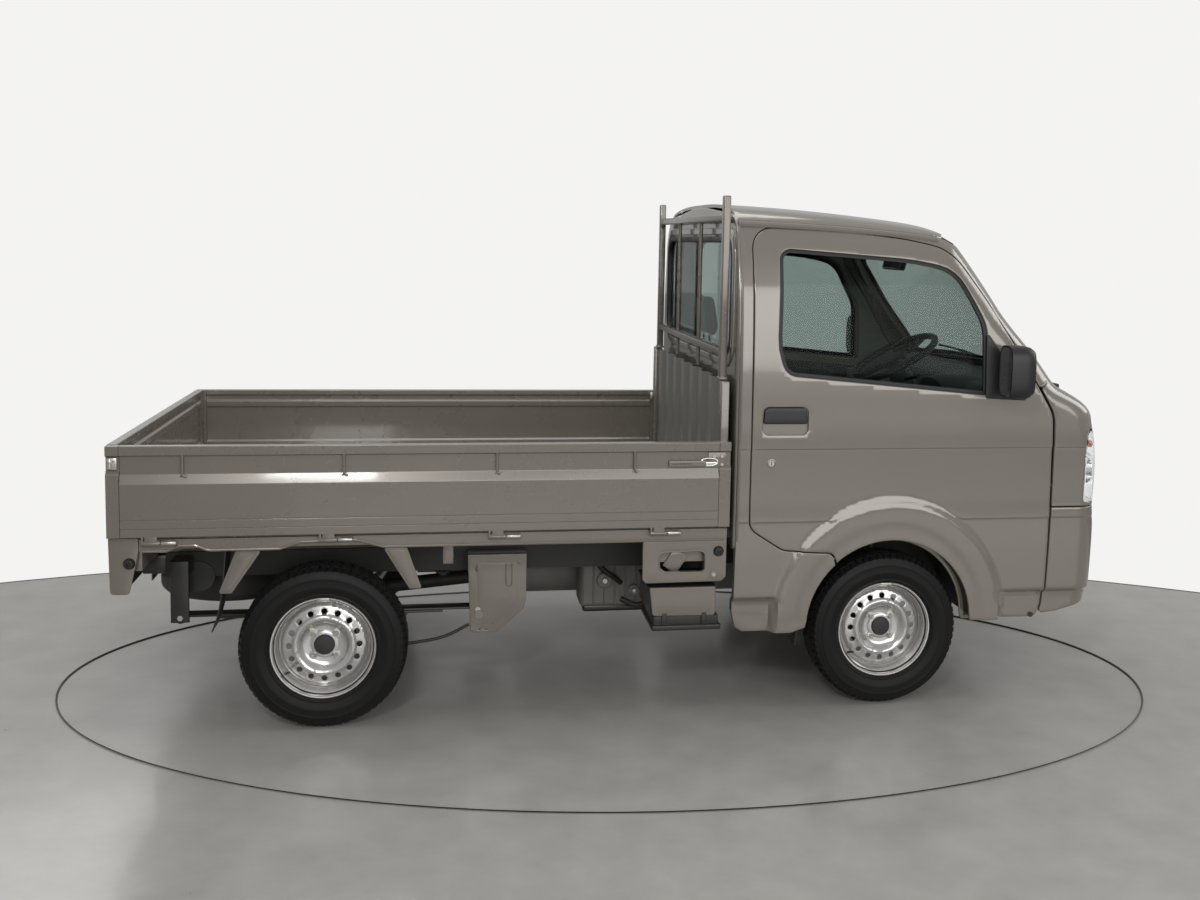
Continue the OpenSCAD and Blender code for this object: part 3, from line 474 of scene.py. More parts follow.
def smooth_path(points, per_span=6):
    """Points along a Catmull-Rom curve through the given ones."""
    pts = [Vector(p) for p in points]
    ends = [2 * pts[0] - pts[1]] + pts + [2 * pts[-1] - pts[-2]]
    made = []
    for i in range(1, len(ends) - 2):
        a, b, c, d = ends[i - 1:i + 3]
        for k in range(per_span):
            t = k / per_span
            made.append(0.5 * ((2 * b) + (c - a) * t + (2 * a - 5 * b + 4 * c - d) * t ** 2
                               + (3 * b - a - 3 * c + d) * t ** 3))
    return made + [pts[-1]]


def tube(name, points, radius, sides=12, material=None, per_span=6, flat=1.0):
    path = smooth_path(points, per_span) if per_span > 1 else [Vector(p) for p in points]
    verts, faces = [], []
    side = None
    for i, p in enumerate(path):
        ahead = (path[min(i + 1, len(path) - 1)] - path[max(i - 1, 0)]).normalized()
        if side is None:
            side = ahead.orthogonal().normalized()
        side = (side - ahead * side.dot(ahead)).normalized()
        lift = ahead.cross(side)
        for k in range(sides):
            a = 2 * math.pi * k / sides
            verts.append(p + side * (radius * math.cos(a)) + lift * (radius * flat * math.sin(a)))
    for i in range(len(path) - 1):
        for k in range(sides):
            n = (k + 1) % sides
            faces.append((i * sides + k, i * sides + n, (i + 1) * sides + n, (i + 1) * sides + k))
    faces.append(tuple(range(sides))[::-1])
    faces.append(tuple((len(path) - 1) * sides + k for k in range(sides)))
    obj = outward(mesh_object(name, verts, faces))
    if material:
        painted(obj, material)
    return obj


# %% [markdown]
# Pressed panels are made from an outline with round corners. `rounded` turns a few corner points,
# each with its own radius, into an even polyline, and the cell after makes plates with rolled
# edges of it.

# %% Outlines with round corners
def rounded(corners, step=0.012):
    """corners are (a, b, radius); arcs replace the corners and long edges are divided evenly."""
    made = []
    count = len(corners)
    for i in range(count):
        p = np.array(corners[i][:2], float)
        before = np.array(corners[i - 1][:2], float) - p
        after = np.array(corners[(i + 1) % count][:2], float) - p
        lb, la = np.linalg.norm(before), np.linalg.norm(after)
        before, after = before / lb, after / la
        radius = corners[i][2]
        half = math.acos(max(-1, min(1, float(before @ after)))) / 2
        if radius <= 0 or half > 1.55:
            made.append(p)
            continue
        reach = min(radius / math.tan(half), 0.48 * lb, 0.48 * la)
        radius = reach * math.tan(half)
        start, end = p + before * reach, p + after * reach
        mid = p + (before + after) / np.linalg.norm(before + after) * (radius / math.sin(half))
        turn = math.pi - 2 * half
        steps = max(2, int(math.ceil(turn / 0.22)))
        a0 = math.atan2(*(start - mid)[::-1])
        a1 = math.atan2(*(end - mid)[::-1])
        sweep = (a1 - a0 + math.pi) % (2 * math.pi) - math.pi
        for k in range(steps + 1):
            a = a0 + sweep * k / steps
            made.append(mid + radius * np.array([math.cos(a), math.sin(a)]))
    dense = []
    for i, p in enumerate(made):
        q = made[(i + 1) % len(made)]
        length = np.linalg.norm(q - p)
        if length < 1e-6:
            continue
        parts = max(1, int(round(length / step)))
        dense += [p + (q - p) * k / parts for k in range(parts)]
    return np.array(dense)


def signed_area(points):
    x, y = points[:, 0], points[:, 1]
    return 0.5 * float(np.sum(x * np.roll(y, -1) - np.roll(x, -1) * y))


def inset(points, distance):
    """Moves each point of a closed outline inwards."""
    along = np.roll(points, -1, 0) - np.roll(points, 1, 0)
    normal = np.stack([-along[:, 1], along[:, 0]], 1)
    normal /= np.linalg.norm(normal, axis=1)[:, None] + 1e-12
    return points + normal * distance * (1 if signed_area(points) > 0 else -1)


def inside(points, outline):
    """True for each point that lies inside the closed outline."""
    x, y = points[:, 0][:, None], points[:, 1][:, None]
    ax, ay = outline[:, 0][None], outline[:, 1][None]
    bx, by = np.roll(outline[:, 0], -1)[None], np.roll(outline[:, 1], -1)[None]
    hit = ((ay > y) != (by > y)) & (x < (bx - ax) * (y - ay) / (by - ay + 1e-15) + ax)
    return hit.sum(1) % 2 == 1


def distance_to(points, outline):
    """Shortest distance from each point to the outline's edges."""
    a, b = outline[None], np.roll(outline, -1, 0)[None]
    p = points[:, None]
    t = np.clip(((p - a) * (b - a)).sum(2) / (((b - a) ** 2).sum(2) + 1e-15), 0, 1)
    return np.sqrt((((a + (b - a) * t[..., None]) - p) ** 2).sum(2)).min(1)


# %% [markdown]
# `panel` is the main tool of the bodywork. It triangulates an outline with holes together with an
# even grid of inner points, asks a function where each flat point lies on the body's surface, rolls
# the rim over by a small radius and closes the back, so each panel is a solid plate of sheet metal.

# %% Panel with a rolled rim
def flat_mesh(loops, grid):
    verts = [Vector(p) for loop in loops for p in loop] + [Vector(p) for p in grid]
    edges, start = [], 0
    for loop in loops:
        n = len(loop)
        edges += [(start + k, start + (k + 1) % n) for k in range(n)]
        start += n
    out, _, faces, origin = delaunay_2d_cdt(verts, edges, [], 1, 1e-7)[:4]
    points = np.array([(v.x, v.y) for v in out])
    tri = np.array([f for f in faces if len(f) == 3])
    mids = points[tri].mean(1)
    keep = inside(mids, loops[0])
    for hole in loops[1:]:
        keep &= ~inside(mids, hole)
    where = {given: i for i, merged in enumerate(origin) for given in merged}
    return points, tri[keep], where


def panel(name, outline, holes, place, thickness, roll=0.003, grid=0.016, rows=(), material=None):
    """place(points, depth) gives the 3D points of flat points, depth below the outer surface."""
    loops = [outline] + list(holes)
    angles = [0, 30, 60, 90]
    rings = []
    for index, loop in enumerate(loops):
        way = 1 if index == 0 else -1
        rings.append([(inset(loop, way * roll * (1 - math.cos(math.radians(a)))),
                       roll * (1 - math.sin(math.radians(a)))) for a in angles])
    inner = [r[-1][0] for r in rings]
    low, high = outline.min(0), outline.max(0)
    xs = np.unique(np.round(np.arange(low[0], high[0], grid), 5))
    zs = np.unique(np.round(np.concatenate([np.arange(low[1], high[1], grid), np.array(rows, float)]), 5))
    grid_points = np.array([(x, z) for x in xs for z in zs])
    keep = inside(grid_points, inner[0])
    for hole in inner[1:]:
        keep &= ~inside(grid_points, hole)
    grid_points = grid_points[keep]
    gap = np.min([distance_to(grid_points, loop) for loop in inner], axis=0)
    grid_points = grid_points[gap > 0.0022]
    points, tris, where = flat_mesh(inner, grid_points)
    verts = list(place(points, np.zeros(len(points))))
    faces = [tuple(t) for t in tris]
    back = len(verts)
    verts += list(place(points, np.full(len(points), thickness)))
    faces += [tuple(back + i for i in t[::-1]) for t in tris]
    start = 0
    for loop_rings in rings:
        n = len(loop_rings[0][0])
        ids = [[where.get(start + k) for k in range(n)]]
        backs = [[back + i for i in ids[0]]]
        for ring, drop in loop_rings[-2::-1]:
            first = len(verts)
            verts += list(place(ring, np.full(n, drop)))
            ids.append([first + k for k in range(n)])
        first = len(verts)
        verts += list(place(loop_rings[0][0], np.full(n, thickness)))
        ids.append([first + k for k in range(n)])
        ids += backs
        for a, b in zip(ids[:-1], ids[1:]):
            for k in range(n):
                m = (k + 1) % n
                ring_face = list(dict.fromkeys((a[k], a[m], b[m], b[k])))
                if len(ring_face) > 2:
                    faces.append(tuple(ring_face))
        start += n
    obj = outward(mesh_object(name, verts, faces))
    if material:
        painted(obj, material)
    return obj


# %% [markdown]
# ## The cab's surface
# The cab is one smooth body cut into panels. Its form is a function that is negative inside and
# positive outside: the side section, the centre profile and the plan, blended where they meet so
# that the edges come out round. A panel's points are found by going along a ray until the function
# changes sign, so all panels lie on the same body and their gaps line up.

# %% Curves of the cab
def curve(points, spread=0.010, step=0.002):
    """A smooth function through (input, output) points: dense steps, then a moving average."""
    points = np.array(sorted(points), float)
    xs = np.arange(points[0, 0] - 0.2, points[-1, 0] + 0.2, step)
    ys = np.interp(xs, points[:, 0], points[:, 1])
    width = max(1, int(spread / step))
    kernel = np.hanning(2 * width + 1)
    ys = np.convolve(np.pad(ys, width, mode="edge"), kernel / kernel.sum(), mode="valid")
    return lambda v: np.interp(v, xs, ys)


def smooth_step(v):
    v = np.clip(v, 0, 1)
    return v * v * (3 - 2 * v)


def smooth_max(a, b, k):
    h = np.maximum(k - np.abs(a - b), 0) / k
    return np.maximum(a, b) + h * h * k / 4


HALF_BY_Z = curve([(0.24, HALF_W - 0.022), (0.40, HALF_W - 0.012), (0.56, HALF_W - 0.003), (0.70, HALF_W),
                   (1.06, HALF_W - 0.001), (1.21, HALF_W - 0.005), (1.325, HALF_W - 0.011),
                   (1.44, HALF_W - 0.022), (1.553, HALF_W - 0.052), (1.636, HALF_W - 0.080),
                   (1.70, HALF_W - 0.108), (1.80, HALF_W - 0.165)], spread=0.05)
SCREEN_FOOT = np.array([CAB_NOSE - 0.150, 1.140])
SCREEN_HEAD = np.array([CAB_NOSE - 0.510, ROOF_TOP - 0.097])
PROFILE = np.array([
    (CAB_BACK - 0.3, 0.10), (CAB_BACK - 0.3, ROOF_TOP), (CAB_BACK, ROOF_TOP),
    (CAB_BACK + 0.285, ROOF_TOP - 0.011), (CAB_NOSE - 0.857, ROOF_TOP - 0.029),
    (CAB_NOSE - 0.640, ROOF_TOP - 0.051), (CAB_NOSE - 0.560, ROOF_TOP - 0.070), tuple(SCREEN_HEAD),
    tuple(SCREEN_FOOT), (CAB_NOSE - 0.110, 1.112), (CAB_NOSE - 0.072, 1.076), (CAB_NOSE - 0.050, 1.032),
    (CAB_NOSE - 0.034, 0.986), (CAB_NOSE - 0.017, 0.930), (CAB_NOSE - 0.008, 0.866), (CAB_NOSE - 0.006, 0.79),
    (CAB_NOSE - 0.012, 0.704), (CAB_NOSE - 0.010, 0.672), (CAB_NOSE - 0.002, 0.640), (CAB_NOSE, 0.60),
    (CAB_NOSE, 0.42), (CAB_NOSE - 0.004, 0.36), (CAB_NOSE - 0.02, 0.30), (CAB_NOSE - 0.04, 0.10)])
CORNER_R = 0.135
PLAN_BOW = 0.020
ARCH_X, ARCH_Z, ARCH_R = FRONT_X + 0.008, TYRE_R + 0.024, 0.2975


def field(polygon, cell=0.006, pad=0.35):
    """Signed distance to a closed outline, sampled once on a grid and read back smoothly."""
    low, high = polygon.min(0) - pad, polygon.max(0) + pad
    xs, zs = np.arange(low[0], high[0], cell), np.arange(low[1], high[1], cell)
    points = np.stack(np.meshgrid(xs, zs, indexing="ij"), -1).reshape(-1, 2)
    away = np.concatenate([distance_to(part, polygon) for part in np.array_split(points, 40)])
    away = np.where(inside(points, polygon), -away, away).reshape(len(xs), len(zs))

    def read(x, z):
        i = np.clip((x - low[0]) / cell, 0, len(xs) - 2.001)
        j = np.clip((z - low[1]) / cell, 0, len(zs) - 2.001)
        a, b = i.astype(int), j.astype(int)
        s, t = i - a, j - b
        return ((1 - s) * (1 - t) * away[a, b] + s * (1 - t) * away[a + 1, b]
                + (1 - s) * t * away[a, b + 1] + s * t * away[a + 1, b + 1])
    return read


def eased(points, rounds=3):
    """Cuts the corners of a closed outline so that it runs smoothly."""
    for _ in range(rounds):
        after = np.roll(points, -1, 0)
        points = np.stack([0.75 * points + 0.25 * after, 0.25 * points + 0.75 * after], 1).reshape(-1, 2)
    return points


PROFILE_FIELD = field(eased(PROFILE))


def ledge(x, z):
    """The pressed lines of the side: a tuck low down, a soft line and a sharp line at the waist."""
    flare = np.hypot(x - ARCH_X, np.maximum(z - ARCH_Z, 0) * 0.955)
    tuck = 0.024 * smooth_step((0.402 - z) / 0.022) * smooth_step((flare - 0.405) / 0.03)
    soft = 0.0028 * smooth_step((z - 0.660) / 0.006) * (1 - smooth_step((z - 0.668) / 0.06))
    sharp = 0.0040 * smooth_step((z - 0.912) / 0.004) * (1 - smooth_step((z - 0.918) / 0.16))
    clear_of_arch = smooth_step((flare - 0.425) / 0.012)
    lift = 0.012 * (1 - smooth_step((flare - 0.405) / 0.024)) - 0.004 * (1 - smooth_step((flare - 0.325) / 0.03))
    return soft * clear_of_arch + sharp - tuck + lift


def cab_form(p):
    x, y, z = p[:, 0], np.abs(p[:, 1]), p[:, 2]
    side = y - HALF_BY_Z(z) - ledge(x, z)
    crown = 0.034 * (y / 0.62) ** 3 * smooth_step((z - 1.2) / 0.2)
    bowed = y * y / 6.4 * smooth_step((z - 1.02) / 0.12)
    plan = PLAN_BOW * (y / 0.6) ** 2
    front = smooth_step((x - CAB_NOSE + 0.22) / 0.12) * (1 - smooth_step((z - 0.98) / 0.12))
    profile = PROFILE_FIELD(x + bowed + front * (plan - 0.010), z + crown)
    nose = x - (CAB_NOSE + 0.075) + plan
    form = smooth_max(side, profile, 0.085)
    return smooth_max(form, nose, CORNER_R * 1.17)


def along_rays(origin, heading, reach=0.6, steps=60):
    """Where each ray from outside first meets the cab's surface."""
    near = np.zeros(len(origin))
    far = np.full(len(origin), reach)
    open_ray = np.ones(len(origin), bool)
    for k in range(1, steps + 1):
        t = reach * k / steps
        met = open_ray & (cab_form(origin + heading * t) < 0)
        far[met] = t
        near[met] = t - reach / steps
        open_ray &= ~met
    for _ in range(16):
        mid = (near + far) / 2
        hit = cab_form(origin + heading * mid[:, None]) < 0
        far = np.where(hit, mid, far)
        near = np.where(hit, near, mid)
    return origin + heading * ((near + far) / 2)[:, None]


# %% [markdown]
# Each direction of view onto the body has its own `place` function: from the side, from above,
# square to the windscreen, and round the nose, where the ray turns with the front corners.

# %% Ways onto the surface
def deeper(place, extra):
    """The same way onto the surface, deeper by extra; a negative extra stands out from it."""
    return lambda points, depth: place(points, np.asarray(depth) + extra)


def from_side(points, depth):
    n = len(points)
    origin = np.stack([points[:, 0], np.full(n, -HALF_W - 0.06), points[:, 1]], 1)
    heading = np.tile([0.0, 1.0, 0.0], (n, 1))
    return along_rays(origin, heading) + heading * np.asarray(depth)[:, None]


def from_above(points, depth):
    n = len(points)
    origin = np.stack([points[:, 0], points[:, 1], np.full(n, ROOF_TOP + 0.05)], 1)
    heading = np.tile([0.0, 0.0, -1.0], (n, 1))
    return along_rays(origin, heading) + heading * np.asarray(depth)[:, None]


SLOPE = SCREEN_HEAD - SCREEN_FOOT
SLOPE_LENGTH = float(np.linalg.norm(SLOPE))
SLOPE = SLOPE / SLOPE_LENGTH
SCREEN_OUT = np.array([SLOPE[1], 0.0, -SLOPE[0]])


def from_screen(points, depth):
    """points are (y across, s up the slope)."""
    n = len(points)
    base = np.stack([SCREEN_FOOT[0] + SLOPE[0] * points[:, 1], points[:, 0],
                     SCREEN_FOOT[1] + SLOPE[1] * points[:, 1]], 1)
    heading = np.tile(-SCREEN_OUT, (n, 1))
    return along_rays(base - heading * 0.08, heading) + heading * np.asarray(depth)[:, None]


WRAP_R = 0.16
WRAP_X = CAB_NOSE - 0.02 - WRAP_R
WRAP_START = 1.40
WRAP_SIDE = WRAP_X - WRAP_START
WRAP_ARC = WRAP_R * math.pi / 2
WRAP_FRONT = 2 * (HALF_W - WRAP_R)
WRAP_TOTAL = 2 * WRAP_SIDE + 2 * WRAP_ARC + WRAP_FRONT


def from_nose(points, depth):
    """points are (way round the nose from the right side to the left side, height)."""
    u, z = points[:, 0], points[:, 1]
    half = np.where(u > WRAP_TOTAL / 2, WRAP_TOTAL - u, u)
    way = np.where(u > WRAP_TOTAL / 2, 1.0, -1.0)
    on_arc = np.clip((half - WRAP_SIDE) / WRAP_ARC, 0, 1) * math.pi / 2
    across = np.maximum(half - WRAP_SIDE - WRAP_ARC, 0)
    x = np.minimum(WRAP_START + half, WRAP_X) + WRAP_R * np.sin(on_arc)
    y = way * (HALF_W - WRAP_R + WRAP_R * np.cos(on_arc) - across)
    outward_way = np.stack([np.sin(on_arc), way * np.cos(on_arc), np.zeros(len(u))], 1)
    origin = np.stack([x, y, z], 1) + outward_way * 0.06
    return along_rays(origin, -outward_way) - outward_way * np.asarray(depth)[:, None]


def wrap_u(x=None, y=None):
    """The way round the nose of a place on the right side (x) or on the right of the front (y)."""
    if y is not None:
        return WRAP_SIDE + WRAP_ARC + (HALF_W - WRAP_R - abs(y))
    if x <= WRAP_X:
        return x - WRAP_START
    return WRAP_SIDE + WRAP_R * math.asin(min(1, (x - WRAP_X) / WRAP_R))


# %% [markdown]
# ## Doors
# The door is a pressed skin over the wheel arch, with a window, a sunk grip behind a black flap and
# a key lock. Its outline is drawn in side view, where it shows best, and laid on the cab's surface.
# Extra rows of points follow the pressed lines so that they stay crisp.

# %% Door outline
DOOR_REAR = CAB_BACK + 0.052
DOOR_FRONT = CAB_NOSE - 0.228
SHUT = 0.0032


def arch_points(radius, from_angle, to_angle, steps=30):
    return [(ARCH_X + radius * math.cos(math.radians(a)), ARCH_Z + radius * math.sin(math.radians(a)), 0)
            for a in np.linspace(from_angle, to_angle, steps)]


DOOR_CORNERS = [
    (DOOR_REAR, 0.640, 0.06), (DOOR_REAR, 1.663, 0.075), (CAB_BACK + 0.38, 1.6575, 0.5),
    (CAB_NOSE - 0.767, 1.633, 0.8), (CAB_NOSE - 0.640, 1.607, 0.20), (CAB_NOSE - 0.578, 1.558, 0.16),
    (CAB_NOSE - 0.467, 1.405, 0.9), (CAB_NOSE - 0.285, 1.117, 0.9), (DOOR_FRONT - 0.004, 1.030, 0.12),
    (DOOR_FRONT - 0.001, 0.80, 0.4), (DOOR_FRONT + 0.002, 0.36, 0.1), (DOOR_FRONT - 0.010, 0.287, 0.03)]
DOOR_CORNERS += [(ARCH_X + ARCH_R + 0.004, 0.291, 0.004)] + arch_points(ARCH_R, 4, 132)
DOOR_CORNERS += [(CAB_BACK + 0.350, 0.551, 0.03), (CAB_BACK + 0.175, 0.561, 0.08)]
DOOR_OUTLINE = inset(rounded(DOOR_CORNERS, 0.010), SHUT)
WINDOW_CORNERS = [
    (CAB_BACK + 0.148, 1.592, 0.040), (CAB_NOSE - 0.750, 1.562, 0.9), (CAB_NOSE - 0.600, 1.532, 0.14),
    (CAB_NOSE - 0.492, 1.340, 0.16), (CAB_NOSE - 0.486, 1.098, 0.010), (CAB_BACK + 0.17, 1.1645, 0.055),
    (CAB_BACK + 0.139, 1.25, 0.4)]
WINDOW_OUTLINE = rounded(WINDOW_CORNERS, 0.010)
CHEEK_CORNERS = [
    (CAB_NOSE - 0.493, 1.088, 0.008), (CAB_NOSE - 0.497, 1.325, 0.008), (CAB_NOSE - 0.440, 1.250, 0.02),
    (CAB_NOSE - 0.335, 1.100, 0.02), (CAB_NOSE - 0.345, 1.080, 0.01)]
HANDLE_MID = (CAB_BACK + 0.170, 1.011)
HANDLE_OUTLINE = rounded([(HANDLE_MID[0] + sx * 0.079, HANDLE_MID[1] + sz * 0.047, 0.020)
                          for sx, sz in ((-1, -1), (1, -1), (1, 1), (-1, 1))], 0.006)
LOW_ROWS = (0.394, 0.398, 0.402, 0.659, 0.662, 0.665, 0.669)
WAIST_ROWS = (0.9105, 0.9125, 0.9145, 0.9165, 0.919)
PRESSED_ROWS = LOW_ROWS + WAIST_ROWS

# %% [markdown]
# The grip is a dished bowl: rings of the same outline, each smaller and deeper than the last, are
# bridged and closed with a flat floor.

# %% Bowl, door skin, inner panel
def bowl(name, outline, place, rings, material):
    """rings are (inset, depth) pairs from the rim to the floor."""
    verts, faces = [], []
    n = len(outline)
    for distance, depth in rings:
        verts += list(place(inset(outline, distance), np.full(n, depth)))
    for r in range(len(rings) - 1):
        for k in range(n):
            m = (k + 1) % n
            faces.append((r * n + k, r * n + m, (r + 1) * n + m, (r + 1) * n + k))
    last = (len(rings) - 1) * n
    faces.append(tuple(last + k for k in range(n)))
    return painted(outward(mesh_object(name, verts, faces)), material)


def door_skin():
    skin = panel("door_skin", DOOR_OUTLINE, [WINDOW_OUTLINE, HANDLE_OUTLINE], from_side, 0.009, roll=0.0032,
                 grid=0.015, rows=PRESSED_ROWS, material=PAINT)
    grip = bowl("door_grip", HANDLE_OUTLINE, from_side,
                [(-0.002, 0.006), (0.0005, 0.010), (0.004, 0.018), (0.010, 0.023), (0.018, 0.025)], PAINT)
    hem = panel("door_inner", inset(DOOR_OUTLINE, 0.014), [inset(WINDOW_OUTLINE, -0.012)], from_side, 0.0455,
                roll=0.004, grid=0.05, material=INNER_PAINT)
    hem.data.transform(Matrix.Translation((0, 0.0095, 0)))
    return [skin, grip, hem]


# %% [markdown]
# Window glass is a thin curved sheet, set back in a black rubber channel. The channel is a rolled
# ring a little larger than the opening.

# %% Rubber ring, glass and mirror cheek
def ring_plate(name, outline, width, place, depth, thick, material):
    """A flat seal that follows an outline, depth below the surface."""
    base = inset(outline, width)
    return panel(name, outline, [base], deeper(place, depth), thick, roll=0.0015,
                 grid=0.2, material=material)


def door_window():
    seal = ring_plate("window_seal", inset(WINDOW_OUTLINE, -0.004), 0.017, from_side, 0.0055, 0.010,
                      SEAL_RUBBER)
    cheek = panel("mirror_cheek", rounded(CHEEK_CORNERS, 0.01), [], deeper(from_side, -0.004),
                  0.010, roll=0.004, grid=0.03, material=BLACK_PLASTIC)
    return [seal, cheek]


def handle_flap():
    x, z = HANDLE_MID
    outline = rounded([(x - 0.077, z - 0.010, 0.006), (x + 0.077, z - 0.010, 0.006),
                       (x + 0.0735, z + 0.046, 0.020), (x - 0.0735, z + 0.046, 0.020)], 0.006)
    flap = panel("handle_flap", outline, [], deeper(from_side, -0.001), 0.014, roll=0.004,
                 grid=0.02, material=BLACK_PLASTIC)
    lock_x, lock_z = CAB_BACK + 0.124, 0.866
    at = from_side(np.array([[lock_x, lock_z]]), np.zeros(1))[0]
    ring = lathe("lock_ring",
                 [(0.0165, -0.002), (0.0155, 0.0015), (0.0125, 0.0022), (0.0118, 0.0005), (0.0118, -0.004)],
                 tuple(at), axis="-Y", steps=36, material=PAINT)
    barrel = lathe("lock_barrel", disc_profile(0.0112, 0.0028, 0.0012), tuple(at), axis="-Y", steps=36,
                   material=ZINC)
    slit = block("lock_slit", (lock_x - 0.0012, at[1] - 0.0034, lock_z - 0.006),
                 (lock_x + 0.0012, at[1] - 0.0026, lock_z + 0.006), 0.0002, 1, SEAL_RUBBER)
    return [flap, ring, barrel, slit]


# %% [markdown]
# The inside of the door is a grey trim board with an arm rest, a pull and a pocket.

# %% Door trim
def door_trim():
    y = -HALF_W + 0.060
    board_outline = rounded([
        (DOOR_REAR + 0.03, 0.69, 0.04), (DOOR_REAR + 0.03, 1.125, 0.02), (CAB_NOSE - 0.47, 1.06, 0.02),
        (CAB_NOSE - 0.30, 1.03, 0.05), (DOOR_FRONT - 0.04, 0.92, 0.04), (DOOR_FRONT - 0.04, 0.66, 0.04),
        (ARCH_X + 0.10, 0.62, 0.1), (ARCH_X - 0.22, 0.64, 0.1)], 0.012)

    def on_board(points, depth):
        return np.stack([points[:, 0], y + 0.014 - np.asarray(depth), points[:, 1]], 1)
    board = panel("trim_board", board_outline, [], on_board, 0.0085, roll=0.004, grid=0.05,
                  material=GREY_PLASTIC)
    rest = block("arm_rest", (DOOR_REAR + 0.16, y + 0.012, 0.86), (DOOR_REAR + 0.56, y + 0.043, 0.905), 0.012,
                 3, DARK_PLASTIC)
    pull = tube("door_pull", [(DOOR_REAR + 0.60, y + 0.012, 0.98), (DOOR_REAR + 0.62, y + 0.032, 0.99),
                              (DOOR_REAR + 0.76, y + 0.032, 0.96), (DOOR_REAR + 0.78, y + 0.012, 0.95)],
                0.009, 10, DARK_PLASTIC)
    pocket = block("door_pocket", (DOOR_REAR + 0.10, y + 0.012, 0.70), (DOOR_REAR + 0.62, y + 0.032, 0.78),
                   0.008, 3, DARK_PLASTIC)
    return [board, rest, pull, pocket]


door_parts = door_skin() + door_window() + handle_flap() + door_trim()
door_right = join("door_right_panel", door_parts)
door_left = mirrored(door_right, "door_left_panel")
for door, side in ((door_right, "right"), (door_left, "left")):
    piece(door, PAINT, "door_" + side, ["door_" + side])
glass_outline = inset(WINDOW_OUTLINE, -0.003)
pane_right = panel("door_pane_right", glass_outline, [], deeper(from_side, 0.0125), 0.004,
                   roll=0.001, grid=0.03, material=GLASS)
pane_left = mirrored(pane_right, "door_pane_left")
for pane, side in ((pane_right, "right"), (pane_left, "left")):
    piece(pane, GLASS, "door_" + side, ["door_glass_" + side])
print("door", len(door_right.data.polygons), "faces")

# %% [markdown]
# ## Cab sides
# The side frame is what stays when the door opens: the rear pillar, the sill behind the wheel, the
# roof edge and the windscreen pillar. It is one pressing, so it is one panel with the door as a hole,
# and it is thick enough to show the depth of the pillars through the windows.

# %% Side frame
def side_frame():
    top = [(CAB_BACK + 0.008, ROOF_TOP - 0.040, 0.008), (CAB_BACK + 0.285, ROOF_TOP - 0.054, 0),
           (CAB_NOSE - 0.857, ROOF_TOP - 0.073, 0), (CAB_NOSE - 0.700, ROOF_TOP - 0.092, 0.2),
           (CAB_NOSE - 0.620, ROOF_TOP - 0.116, 0.06), (CAB_NOSE - 0.563, 1.600, 0.2),
           (CAB_NOSE - 0.460, 1.450, 0.9), (CAB_NOSE - 0.357, 1.300, 0.9), (CAB_NOSE - 0.252, 1.150, 0.01)]
    rear = [(DOOR_REAR, 1.663, 0.075), (DOOR_REAR, 0.640, 0.06), (CAB_BACK + 0.175, 0.561, 0.08),
            (CAB_BACK + 0.350, 0.551, 0.03)]
    arch = arch_points(ARCH_R, 133, 177, 10)
    sill = [(ARCH_X - ARCH_R - 0.004, 0.287, 0.006), (CAB_BACK + 0.215, 0.272, 0.02),
            (CAB_BACK + 0.05, 0.271, 0.02), (CAB_BACK + 0.024, 0.285, 0.02), (CAB_BACK + 0.008, 0.345, 0.05)]
    pillar = [(CAB_NOSE - 0.467, 1.405, 0.9), (CAB_NOSE - 0.578, 1.558, 0.16),
              (CAB_NOSE - 0.640, 1.607, 0.20), (CAB_NOSE - 0.767, 1.633, 0.8), (CAB_BACK + 0.38, 1.6575, 0.5)]
    outline = rounded(top + [(CAB_NOSE - 0.289, 1.1265, 0.004)] + pillar + rear + arch + sill, 0.010)
    return panel("side_frame", outline, [], from_side, 0.030, roll=0.003, grid=0.013, rows=PRESSED_ROWS,
                 material=PAINT)


def door_step():
    """The flange that the door closes on, seen through the shut lines and when the door is open."""
    band = panel("door_step", inset(DOOR_OUTLINE, -0.012), [inset(DOOR_OUTLINE, 0.012)], from_side, 0.006,
                 roll=0.002, grid=0.2, material=PAINT)
    band.data.transform(Matrix.Translation((0, 0.061, 0)))
    seal = panel("door_step_seal", inset(DOOR_OUTLINE, 0.004), [inset(DOOR_OUTLINE, 0.014)], from_side, 0.008,
                 roll=0.003, grid=0.2, material=SEAL_RUBBER)
    seal.data.transform(Matrix.Translation((0, 0.058, 0)))
    return [band, seal]


def rear_moulding():
    """The folded seam down the rear corner of the cab and along the roof edge."""
    z = np.linspace(0.60, ROOF_TOP - 0.060, 40)
    at = from_side(np.stack([np.full(40, CAB_BACK + 0.014), z], 1), np.zeros(40))
    return tube("corner_seam", [tuple(p) for p in at], 0.0035, 8, PAINT, per_span=1)


frame_right = join("cab_side_right", [side_frame(), rear_moulding()] + door_step())
frame_left = mirrored(frame_right, "cab_side_left")
piece(frame_right, PAINT, "root", ["cab_frame"])
piece(frame_left, PAINT, "root", ["cab_frame"])

# %% [markdown]
# ## Roof, back wall and windscreen surround
# The roof skin is laid on from above and ends at a rain gutter, a thin folded channel that is bright
# along its edge. The windscreen surround is laid on square to the glass, so the pillars' front faces
# and the header come out even.

# %% Roof with its gutters
ROOF_EDGE_Y = 0.618


